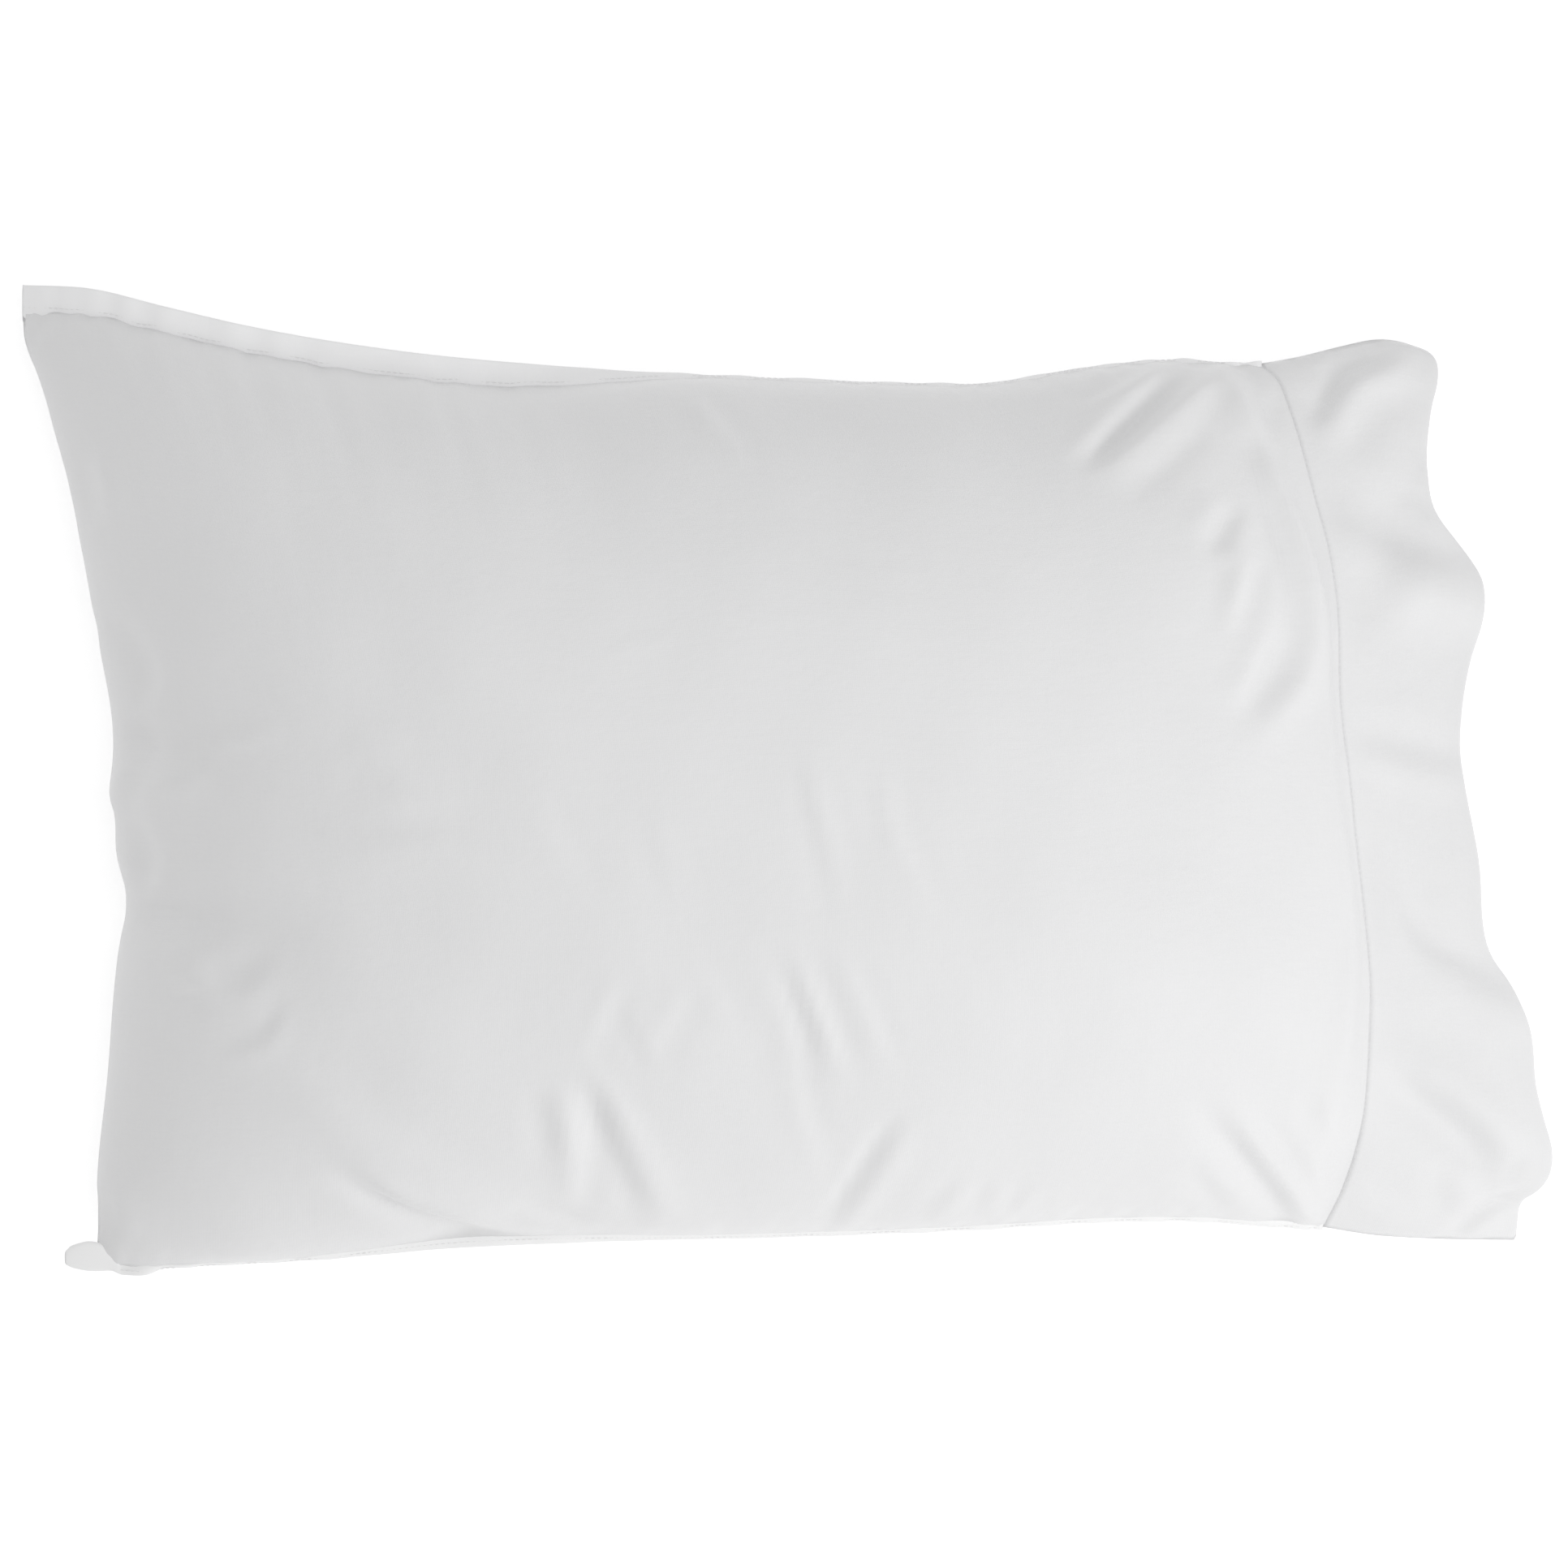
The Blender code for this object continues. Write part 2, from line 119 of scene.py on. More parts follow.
# Folds that the cloth shows. Each has the places it runs through, its half width (or its first and
# last half widths), how far the cloth steps up across it towards the near hem corner, and how far it
# is raised along its middle.
NEAR_HEM_CORNER = (0.82, -0.57)  # direction, seen from above
PILLOW_END_FOLDS = (
    (((0.222, 0.204), (0.238, 0.176), (0.249, 0.149)), (0.010, 0.009), -0.0052, 0.0),
    (((0.249, 0.149), (0.259, 0.117), (0.267, 0.083)), (0.009, 0.004), -0.0042, 0.0),
    (((0.267, 0.083), (0.2695, 0.050), (0.2725, 0.000)), (0.004, 0.0045), -0.0026, 0.0),
    (((0.2725, 0.000), (0.279, -0.040), (0.282, -0.075)), (0.0045, 0.005), -0.0026, 0.0),
    (((0.282, -0.075), (0.282, -0.118), (0.277, -0.150)), (0.005, 0.009), -0.0040, 0.0),
    (((0.277, -0.150), (0.2706, -0.183), (0.267, -0.212)), (0.009, 0.0115), -0.0046, 0.0),
    (((0.232, 0.158), (0.244, 0.128), (0.253, 0.098), (0.255, 0.074), (0.250, 0.052), (0.236, 0.036)),
     (0.005, 0.0105), 0.0072, 0.0),
    (((0.215, 0.134), (0.206, 0.118)), 0.0095, -0.0034, 0.0),
    (((0.224, 0.132), (0.211, 0.108)), 0.0070, 0.0036, 0.0),
    (((0.230, 0.110), (0.222, 0.080)), 0.0075, -0.0042, 0.0),
    (((0.218, 0.109), (0.212, 0.074)), 0.0070, 0.0020, 0.0),
    (((0.238, 0.070), (0.226, 0.036)), 0.0090, -0.0046, 0.0),
)
FAR_FOLDS = (
    (((0.210, 0.202), (0.187, 0.184), (0.155, 0.157)), 0.0075, 0.0061, 0.0),
    (((0.188, 0.198), (0.169, 0.180), (0.146, 0.161)), 0.007, -0.0049, 0.0),
    (((0.182, 0.202), (0.152, 0.187), (0.144, 0.183)), 0.006, 0.0032, 0.0),
    (((0.207, 0.181), (0.185, 0.160), (0.167, 0.146)), 0.009, -0.0035, 0.0),
    (((0.215, 0.192), (0.231, 0.162)), 0.009, 0.0038, 0.0),
    (((-0.044, 0.188), (-0.028, 0.170), (-0.018, 0.156)), 0.006, -0.0019, 0.0),
    (((-0.054, 0.186), (-0.040, 0.168)), 0.006, 0.0012, 0.0),
    (((-0.370, 0.234), (-0.377, 0.216)), 0.003, 0.0, -0.001),
)
CLOSED_END_FOLDS = (
    (((-0.346, 0.162), (-0.338, 0.130)), 0.010, 0.004, 0.0),
    (((-0.341, 0.076), (-0.326, 0.064), (-0.320, 0.053), (-0.323, 0.038)), 0.008, -0.0020, -0.0034),
    (((-0.324, 0.026), (-0.321, 0.012), (-0.317, -0.002)), 0.008, -0.0016, -0.0030),
    (((-0.328, 0.012), (-0.308, 0.007), (-0.288, 0.006)), 0.012, 0.0072, 0.0),
    (((-0.289, 0.014), (-0.271, 0.019), (-0.250, 0.023)), 0.0035, 0.0, 0.0014),
    (((-0.323, 0.000), (-0.336, -0.016)), 0.007, -0.0036, 0.0),
    (((-0.332, -0.022), (-0.323, -0.030), (-0.320, -0.040), (-0.325, -0.055)), 0.008, -0.0020, -0.0036),
    (((-0.318, -0.058), (-0.298, -0.062)), 0.007, -0.003, 0.0),
    (((-0.324, -0.078), (-0.300, -0.080), (-0.279, -0.079)), 0.014, 0.0072, 0.0),
    (((-0.306, -0.100), (-0.284, -0.106)), 0.008, -0.0032, 0.0),
    (((-0.290, -0.094), (-0.268, -0.101), (-0.252, -0.090)), 0.009, 0.0034, 0.0),
    (((-0.276, -0.134), (-0.256, -0.127), (-0.246, -0.114)), 0.0060, 0.0022, 0.0),
    (((-0.338, -0.205), (-0.332, -0.228)), 0.008, 0.0024, 0.0),
)
MIDDLE_FOLDS = (
    (((-0.214, 0.010), (-0.190, 0.004)), 0.012, -0.0018, 0.0),
    (((-0.226, -0.018), (-0.208, -0.028), (-0.165, -0.028), (-0.147, -0.035)), 0.010, 0.0018, 0.0),
    (((-0.084, 0.064), (-0.056, 0.068)), 0.003, 0.0, 0.0007),
    (((-0.117, -0.016), (-0.095, -0.053)), 0.009, -0.0011, 0.0),
    (((-0.068, -0.018), (-0.058, -0.057)), 0.007, 0.001, 0.0),
    (((0.008, 0.004), (0.015, -0.028), (0.023, -0.065)), 0.006, 0.0015, 0.0),
    (((0.016, 0.004), (0.022, -0.020), (0.031, -0.040)), 0.006, -0.0013, 0.0),
    (((0.043, 0.000), (0.049, -0.036)), 0.007, 0.0009, 0.0),
    (((0.051, 0.000), (0.055, -0.024), (0.071, -0.057)), 0.006, -0.0018, 0.0),
    (((-0.080, -0.099), (-0.095, -0.132)), 0.006, -0.0016, 0.0),
    (((-0.095, -0.134), (-0.072, -0.170)), 0.0055, -0.0016, 0.0),
    (((-0.080, -0.112), (-0.066, -0.140)), 0.006, 0.0014, 0.0),
    (((-0.048, -0.103), (-0.063, -0.134)), 0.007, -0.0015, 0.0),
    (((-0.040, -0.089), (-0.024, -0.122)), 0.006, -0.001, 0.0),
    (((-0.007, -0.097), (0.003, -0.122), (0.007, -0.150), (0.017, -0.186)), 0.0065, -0.0021, 0.0),
    (((0.003, -0.092), (0.017, -0.134)), 0.005, 0.0023, 0.0),
    (((0.009, -0.089), (0.019, -0.113), (0.030, -0.142)), 0.0065, -0.0031, 0.0),
    (((0.031, -0.089), (0.037, -0.103), (0.052, -0.136)), 0.0055, -0.0021, 0.0),
)
NEAR_FOLDS = (
    (((-0.235, -0.160), (-0.200, -0.182), (-0.150, -0.203)), 0.013, 0.0, 0.0034),
    (((-0.212, -0.196), (-0.190, -0.208), (-0.166, -0.217), (-0.142, -0.222)), 0.0080, -0.0105, -0.0012),
    (((-0.131, -0.213), (-0.099, -0.222)), 0.0055, 0.0041, 0.0),
    (((-0.100, -0.156), (-0.100, -0.182), (-0.101, -0.206)), 0.008, -0.0046, 0.0),
    (((-0.093, -0.154), (-0.082, -0.178), (-0.066, -0.213)), 0.010, 0.0068, 0.0),
    (((-0.117, -0.152), (-0.112, -0.184)), 0.009, 0.003, 0.0),
    (((0.054, -0.170), (0.040, -0.194), (0.023, -0.219)), 0.008, 0.0043, 0.0),
    (((0.048, -0.167), (0.034, -0.190), (0.019, -0.217)), 0.0045, -0.0026, 0.0),
    (((0.086, -0.198), (0.071, -0.213)), 0.006, 0.0018, 0.0),
    (((0.103, -0.199), (0.094, -0.213)), 0.006, 0.0016, 0.0),
    (((0.120, -0.200), (0.112, -0.212)), 0.005, 0.0014, 0.0),
    (((0.203, -0.192), (0.223, -0.213)), 0.007, 0.0027, 0.0),
    (((0.212, -0.165), (0.236, -0.192), (0.259, -0.222)), 0.009, 0.0076, -0.0014),
    (((0.229, -0.171), (0.248, -0.196), (0.264, -0.220)), 0.008, -0.0054, 0.0),
)
BODY_FOLDS = PILLOW_END_FOLDS + FAR_FOLDS + CLOSED_END_FOLDS + MIDDLE_FOLDS + NEAR_FOLDS
CUFF_FOLDS = (
    (((0.266, 0.176), (0.281, 0.200), (0.304, 0.209)), 0.009, 0.0062, 0.0),
    (((0.276, 0.166), (0.292, 0.188), (0.318, 0.200)), 0.012, -0.0034, 0.0),
    (((0.258, 0.196), (0.268, 0.182)), 0.007, 0.0016, 0.0),
    (((0.280, 0.148), (0.300, 0.128)), 0.010, -0.0016, 0.0),
    (((0.270, 0.134), (0.300, 0.115), (0.346, 0.101)), 0.015, 0.0080, 0.0),
    (((0.296, 0.094), (0.348, 0.082)), 0.012, 0.0, 0.0040),
    (((0.312, 0.150), (0.324, 0.134)), 0.008, 0.0020, 0.0),
    (((0.285, 0.018), (0.335, 0.004)), 0.011, 0.0044, 0.0),
    (((0.299, -0.048), (0.311, -0.077), (0.332, -0.093), (0.364, -0.110)), 0.011, -0.0048, -0.0010),
    (((0.310, -0.100), (0.366, -0.128)), 0.014, 0.0, 0.0026),
    (((0.303, -0.144), (0.327, -0.161), (0.346, -0.178), (0.357, -0.196)), 0.013, 0.0085, -0.0010),
    (((0.330, -0.194), (0.333, -0.215)), 0.009, 0.0022, 0.0),
    (((0.336, -0.227), (0.352, -0.216), (0.370, -0.208)), 0.0042, 0.0030, -0.0012),
    (((0.365, -0.188), (0.362, -0.203)), 0.004, 0.0, -0.0012),
)

# ---------------------------------------------------------------- plan and heights


def lengths_along(path):
    """How far along a path each of its points lies."""
    return np.concatenate([[0], np.cumsum(np.linalg.norm(np.diff(path, axis=0), axis=1))])


def curve_through(points):
    """A smooth curve through the points, as a function of shares of its length."""
    points = np.array(points, float)
    stations = lengths_along(points)
    slopes = np.gradient(points, stations, axis=0)

    def at(shares):
        reach = np.clip(np.asarray(shares, float), 0, 1) * stations[-1]
        index = np.clip(np.searchsorted(stations, reach) - 1, 0, len(points) - 2)
        span = stations[index + 1] - stations[index]
        t = ((reach - stations[index]) / span)[..., None]
        span = span[..., None]
        return (
            (1 - t * t * (3 - 2 * t)) * points[index]
            + t * t * (3 - 2 * t) * points[index + 1]
            + t * (1 - t) ** 2 * span * slopes[index]
            + t * t * (t - 1) * span * slopes[index + 1]
        )

    return at


def patch(near, far, start, end):
    """A Coons patch between two long edges, whose ends are fitted to the edges' corners."""

    def fitted(curve, first_corner, last_corner):
        def at(shares):
            shares = np.asarray(shares, float)
            share = shares[..., None]
            first_miss = first_corner - curve(0.0)
            last_miss = last_corner - curve(1.0)
            return curve(shares) + (1 - share) * first_miss + share * last_miss

        return at

    start = fitted(start, near(0.0), far(0.0))
    end = fitted(end, near(1.0), far(1.0))

    def at(along, across):
        u, v = np.asarray(along)[..., None], np.asarray(across)[..., None]
        corners = (1 - v) * ((1 - u) * near(0.0) + u * near(1.0))
        corners = corners + v * ((1 - u) * far(0.0) + u * far(1.0))
        ruled = (1 - v) * near(along) + v * far(along) + (1 - u) * start(across) + u * end(across)
        return ruled - corners

    return at


def smooth_step(low, high, value):
    """From 0 below `low` to 1 above `high`, level at both."""
    t = np.clip((value - low) / (high - low), 0, 1)
    return t * t * (3 - 2 * t)


def far_band_width(along):
    """How much of the far seam allowance shows from above: it folds down past the middle."""
    folded = smooth_step(*FAR_BAND_NARROWS, along)
    drawn = 0.0006 * np.sin(along * 205 + 0.7) + 0.0005 * np.sin(along * 127 + 2.1)  # two slow waves
    width = FAR_BAND_WIDTH + drawn * smooth_step(0.02, 0.06, along)
    return width + (FAR_BAND_FOLDED_WIDTH - width) * folded


def near_band_width(along):
    """How much of the near seam allowance shows: all of it a third of the way along, part past that."""
    shown = smooth_step(0.12, 0.30, along) * (1 - smooth_step(0.34, 0.50, along))
    shown += 0.4 * smooth_step(0.34, 0.50, along)
    return NEAR_BAND_FOLDED_WIDTH + (NEAR_BAND_WIDTH - NEAR_BAND_FOLDED_WIDTH) * shown


far_outline, near_outline = curve_through(FAR_EDGE), curve_through(NEAR_EDGE)


def far_sewn_edge(along):
    """Where the far seam's stitches run, seen from above."""
    return far_outline(along) - np.stack([0 * np.asarray(along), far_band_width(along)], -1)


def near_sewn_edge(along):
    """Where the near seam's stitches run, seen from above."""
    return near_outline(along) + np.stack([0 * np.asarray(along), near_band_width(along)], -1)


body_plan = patch(near_sewn_edge, far_sewn_edge, curve_through(CLOSED_END), curve_through(HEM_LINE))


def fitted_edge(points, first_corner):
    """The cuff's edge, started from the corner where the body's edge ends."""
    return curve_through((tuple(first_corner), *points[1:]))


cuff_plan = patch(
    fitted_edge(CUFF_NEAR_EDGE, near_sewn_edge(1.0)),
    fitted_edge(CUFF_FAR_EDGE, far_sewn_edge(1.0)),
    curve_through(HEM_LINE),
    curve_through(MOUTH_LINE),
)


def loft_across(across):
    """The share of its full loft that the pillow has across its width."""
    return (1 - np.abs(2 * across - 1) ** ACROSS_POWER) ** EDGE_POWER


def loft_along(along, end_share):
    """The share that it has along its length: none at the closed end and `end_share` at the hem."""
    t = 2 * along - 1
    rise = (1 - np.abs(t) ** ALONG_POWER) ** EDGE_POWER
    return np.where(t < 0, rise, end_share + (1 - end_share) * rise)


def seam_surface(along, across):
    """How high the side seams lie over the table, carried across the whole plan."""
    t = 2 * along - 1
    end_height = np.where(t < 0, CLOSED_END_HEIGHT, HEM_SEAM_HEIGHT)
    droop = CORNER_DROOP * np.maximum(-t, 0) ** 6 * np.abs(2 * across - 1) ** 4
    return SEAM_HEIGHT - (SEAM_HEIGHT - end_height) * np.abs(t) ** 2.5 - droop


def body_surface(along, across, side):
    """A point grid on the body's top (side 1) or bottom (side -1)."""
    fullness = CROWN if side > 0 else BELLY
    loft = fullness * loft_along(along, HEM_FULLNESS) * loft_across(across)
    height = np.maximum(0.0, seam_surface(along, across) + side * loft)
    return np.concatenate([body_plan(along, across), height[..., None]], axis=-1)


def cuff_surface(along, across, side):
    """The same on the hem, where `along` runs from its seam to the mouth."""
    seam = HEM_SEAM_HEIGHT + (MOUTH_SEAM_HEIGHT - HEM_SEAM_HEIGHT) * along
    seam = seam - NEAR_CORNER_DROP * along**2 * (1 - across) ** 8
    if side > 0:
        fullness = CROWN * HEM_FULLNESS * (1 - along) ** 1.4 + MOUTH_CROWN * (1 - (1 - along) ** 1.4)
    else:
        fullness = BELLY * HEM_FULLNESS + (MOUTH_BELLY - BELLY * HEM_FULLNESS) * along
    height = np.maximum(CUFF_FLOOR * along, seam + side * fullness * loft_across(across))
    return np.concatenate([cuff_plan(along, across), height[..., None]], axis=-1)


# ---------------------------------------------------------------- sheets as grids of points


def spaced(count, edge_share=0.5):
    """Shares from 0 to 1, closer together towards both ends."""
    even = np.linspace(0, 1, count + 1)
    return (1 - edge_share) * even + edge_share * (1 - np.cos(np.pi * even)) / 2


def share_at(steps, count):
    """The share at a fractional number of `spaced` steps."""
    return np.interp(steps, np.arange(count + 1), spaced(count))


def steps_at(share, count, edge_share=0.5):
    """The fractional number of `spaced` steps at a share."""
    return np.interp(share, spaced(count, edge_share), np.arange(count + 1))


def case_sheet(side):
    """One side of the whole case, body and cuff, as a grid: rows run from the closed end to the mouth."""
    across = spaced(ACROSS_STEPS)
    cuff_rows = np.arange(1, CUFF_STEPS + 1) / CUFF_STEPS
    body = body_surface(*np.meshgrid(spaced(BODY_STEPS), across, indexing="ij"), side)
    cuff = cuff_surface(*np.meshgrid(cuff_rows, across, indexing="ij"), side)
    return np.concatenate([body, cuff])


def flat_pattern(sheet):
    """Where each grid point lies on the cut cloth: x along, y across, with its rows and columns straight."""
    along = np.linalg.norm(np.diff(sheet, axis=0), axis=2)
    across = np.linalg.norm(np.diff(sheet, axis=1), axis=2)
    x = np.concatenate([np.zeros((1, sheet.shape[1])), np.cumsum(along, axis=0)]).mean(axis=1)
    y = np.concatenate([np.zeros((sheet.shape[0], 1)), np.cumsum(across, axis=1)], axis=1)
    y = (y / y[:, -1:]).mean(axis=0)
    x_body = x[: BODY_STEPS + 1] / x[BODY_STEPS] * FLAT_BODY_LENGTH
    x_cuff = x[BODY_STEPS + 1 :] - x[BODY_STEPS]
    x_cuff = FLAT_BODY_LENGTH + x_cuff / x_cuff[-1] * FLAT_HEM_DEPTH
    x = np.concatenate([x_body, x_cuff])
    pattern = np.zeros_like(sheet)
    pattern[..., 0] = x[:, None]
    pattern[..., 1] = (y * FLAT_WIDTH)[None, :]
    return pattern


def refined_along(grid):
    """One step of cubic subdivision down the rows, with the first and last rows kept."""
    fine = np.zeros((2 * len(grid) - 1, *grid.shape[1:]))
    fine[::2] = grid
    fine[2:-2:2] = (grid[:-2] + 6 * grid[1:-1] + grid[2:]) / 8
    fine[1::2] = (grid[:-1] + grid[1:]) / 2
    return fine


def refined(grid):
    """The same step both ways."""
    return refined_along(refined_along(grid).swapaxes(0, 1)).swapaxes(0, 1)


def grid_normals(grid, side):
    """Unit vectors out of the case's top (side 1) or bottom (side -1) at each point."""
    along, across = np.gradient(grid, axis=0), np.gradient(grid, axis=1)
    normals = np.cross(along, across) * side
    return normals / np.maximum(np.linalg.norm(normals, axis=2, keepdims=True), 1e-12)


def grid_point(grid, row_place, column_place):
    """Points at fractional rows and columns of a grid."""
    row_place, column_place = np.broadcast_arrays(row_place, column_place)
    row = np.clip(row_place.astype(int), 0, grid.shape[0] - 2)
    column = np.clip(column_place.astype(int), 0, grid.shape[1] - 2)
    u, v = (row_place - row)[..., None], (column_place - column)[..., None]
    near = (1 - u) * grid[row, column] + u * grid[row + 1, column]
    far = (1 - u) * grid[row, column + 1] + u * grid[row + 1, column + 1]
    return (1 - v) * near + v * far


def grid_from(x, y, z):
    """A grid of points from its places and heights, whose shapes are spread to match."""
    return np.stack(np.broadcast_arrays(x, y, z), axis=-1)


def sampled(path, stations, places):
    """Points at the given lengths along a path, whose own points lie at `stations`."""
    return np.stack([np.interp(places, stations, path[:, k]) for k in range(3)], axis=1)


def run_of(points, places):
    """Signed distance from a run of places, and how far along it each point lies, 0 to 1."""
    places = np.array(places)
    if len(places) > 2:
        places = curve_through(places)(np.linspace(0, 1, 4 * len(places)))
    lengths = np.linalg.norm(np.diff(places, axis=0), axis=1)
    nearest = np.full(points.shape[:-1], np.inf)
    signed = np.zeros_like(nearest)
    reach = np.zeros_like(nearest)
    before = 0.0
    for index, (start, end) in enumerate(zip(places, places[1:])):
        run = (end - start) / lengths[index]
        t = (points - start) @ run
        low = -np.inf if index == 0 else 0.0
        high = np.inf if index == len(lengths) - 1 else lengths[index]
        held = np.clip(t, low, high)
        offset = points - start - held[..., None] * run
        distance = np.linalg.norm(offset, axis=-1)
        closer = distance < nearest
        side = offset @ np.array([-run[1], run[0]])
        nearest = np.where(closer, distance, nearest)
        signed = np.where(closer, np.where(side < 0, -distance, distance), signed)
        reach = np.where(closer, before + held, reach)
        before += lengths[index]
    chord = places[-1] - places[0]
    if np.dot([-chord[1], chord[0]], NEAR_HEM_CORNER) < 0:
        signed = -signed
    return signed, reach / before


def fold_heights(points, folds):
    """Height that the listed folds add at each point of the plan."""
    heights = np.zeros(points.shape[:-1])
    for places, width, step, rise in folds:
        across, along = run_of(points, places)
        first, last = np.broadcast_to(width, 2)
        q = across / (first + (last - first) * np.clip(along, 0, 1))
        slope = 2 * step / (first + last)
        fade = smooth_step(-0.25, 0.30, along) * (1 - smooth_step(0.70, 1.25, along))
        heights += fade * (slope * across + rise) * np.exp(-q * q)
    return heights


def undulation(points, wavelength, height, seed):
    """Gentle unevenness: a sum of plane waves of about one wavelength."""
    random = np.random.RandomState(seed)
    total = np.zeros(points.shape[:-1])
    waves = 9
    for _ in range(waves):
        turn = random.uniform(0, 2 * np.pi)
        rate = 2 * np.pi / (wavelength * random.uniform(0.7, 1.5))
        phase = random.uniform(0, 2 * np.pi)
        total += np.sin(rate * (points @ np.array([np.cos(turn), np.sin(turn)])) + phase)
    return height * total / np.sqrt(waves)


def seam_puckers(pattern, depth, height, spacing, seed):
    """Short puckers that run in from both long seams and die out within `depth`."""
    x, y = pattern[..., 0], pattern[..., 1]
    random = np.random.RandomState(seed)
    total = np.zeros_like(x)
    for inward in (y, y.max() - y):
        waves = np.zeros_like(x)
        for _ in range(4):
            rate = 2 * np.pi / (spacing * random.uniform(0.6, 1.9))
            lean = random.uniform(-0.5, 0.5)
            waves += np.sin(rate * (x + lean * inward) + random.uniform(0, 2 * np.pi))
        uneven = 0.6 + 0.4 * np.sin(x / 0.083 + random.uniform(0, 2 * np.pi))
        total += waves / 2 * uneven * np.exp(-((inward / depth) ** 1.3))
    return height * total


# ---------------------------------------------------------------- meshes


def object_from(mesh, name, look):
    """A smooth-shaded object made of a bmesh, which is freed."""
    data = bpy.data.meshes.new(name)
    mesh.to_mesh(data)
    mesh.free()
    data.shade_smooth()
    made = bpy.data.objects.new(name, data)
    bpy.context.scene.collection.objects.link(made)
    data.materials.append(look)
    return made


def lofted(rows, cloth_rows, closed_along=False):
    """A mesh over closed rows of points, each joined to the next, with their places on the cut cloth."""
    mesh = bmesh.new()
    cloth = mesh.verts.layers.float_vector.new("cloth")
    made = []
    for row, places in zip(rows, cloth_rows):
        verts = [mesh.verts.new(point) for point in row]
        for vert, place in zip(verts, places):
            vert[cloth] = Vector(place)
        made.append(verts)
    count = len(rows[0])
    pairs = list(zip(made, made[1:])) + ([(made[-1], made[0])] if closed_along else [])
    for first, second in pairs:
        for k in range(count):
            after = (k + 1) % count
            mesh.faces.new((first[k], first[after], second[after], second[k]))
    return mesh


def sealed(mesh):
    """Merges points that coincide, drops what that flattens, and turns the faces outwards."""
    bmesh.ops.remove_doubles(mesh, verts=mesh.verts, dist=1e-7)
    bmesh.ops.recalc_face_normals(mesh, faces=mesh.faces)
    if mesh.calc_volume(signed=True) < 0:
        bmesh.ops.reverse_faces(mesh, faces=mesh.faces)
    return mesh


def around_tube(top, bottom):
    """Rows that run round the case: over the top from near to far, and back underneath."""
    return np.concatenate([top, bottom[:, -2:0:-1]], axis=1)


def tube_cloth(top, bottom, pattern, first, last, raise_by, thickness, rim_steps, wrap):
    """The cloth from row `first` to row `last` of the case, with real thickness and a round last rim.

    With `wrap` its first rim is closed too, and without it the first row is the case's fold.
    """
    outer = around_tube(top, bottom)
    normals = around_tube(grid_normals(top, 1), grid_normals(bottom, -1))
    near_seam, far_seam = 0, top.shape[1] - 1
    normals[:, near_seam] = (0.0, -1.0, 0.0)
    normals[:, far_seam] = (0.0, 1.0, 0.0)
    if not wrap:
        normals[0] = (-1.0, 0.0, 0.0)
    cloth = around_tube(pattern, pattern + np.array([0, 0, 1.0]))
    outer, normals, cloth = outer[first : last + 1], normals[first : last + 1], cloth[first : last + 1]
    outer = outer + raise_by * normals
    inner = outer - thickness * normals
    onward = outer[-1] - outer[-2]
    onward /= np.linalg.norm(onward, axis=1, keepdims=True)
    centre = (outer[-1] + inner[-1]) / 2
    rim = []
    for step in range(1, rim_steps + 1):
        turn = math.pi * step / (rim_steps + 1)
        rim.append(
            centre + thickness / 2 * (math.cos(turn) * normals[-1] + math.sin(turn) * onward)
        )
    rows = [*outer, *rim, *inner[::-1]]
    cloth_rows = [*cloth, *[cloth[-1]] * rim_steps, *cloth[::-1]]
    return sealed(lofted(rows, cloth_rows, closed_along=wrap))


def swept(path, sideways, upwards, half_widths, half_heights, sides, power):
    """A band along a path, closed at its ends. A higher `power` makes its section more square."""
    rows, cloth_rows = [], []
    stations = lengths_along(path)
    turns = 2 * np.pi * np.arange(sides) / sides
    wide = np.sign(np.cos(turns)) * np.abs(np.cos(turns)) ** (2 / power)
    high = np.sign(np.sin(turns)) * np.abs(np.sin(turns)) ** (2 / power)
    for index, centre in enumerate(path):
        section = (
            half_widths[index] * wide[:, None] * sideways[index]
            + half_heights[index] * high[:, None] * upwards[index]
        )
        rows.append(centre + section)
        cloth_rows.append([(stations[index], half_widths[index] * w, 0) for w in wide])
    start, end = np.repeat(path[:1], sides, axis=0), np.repeat(path[-1:], sides, axis=0)
    rows = [start, *rows, end]
    cloth_rows = [cloth_rows[0], *cloth_rows, cloth_rows[-1]]
    return sealed(lofted(rows, cloth_rows))


STITCH_SIDES, STITCH_RINGS = 6, 5
SEAM_STITCH = (0.0022, 0.0009, 0.00022)  # a stitch's length, the gap after it, and its thread's radius
HEM_STITCH = (0.0024, 0.0008, 0.00016)
CLOSING_STITCH = (0.0040, 0.0018, 0.00045)


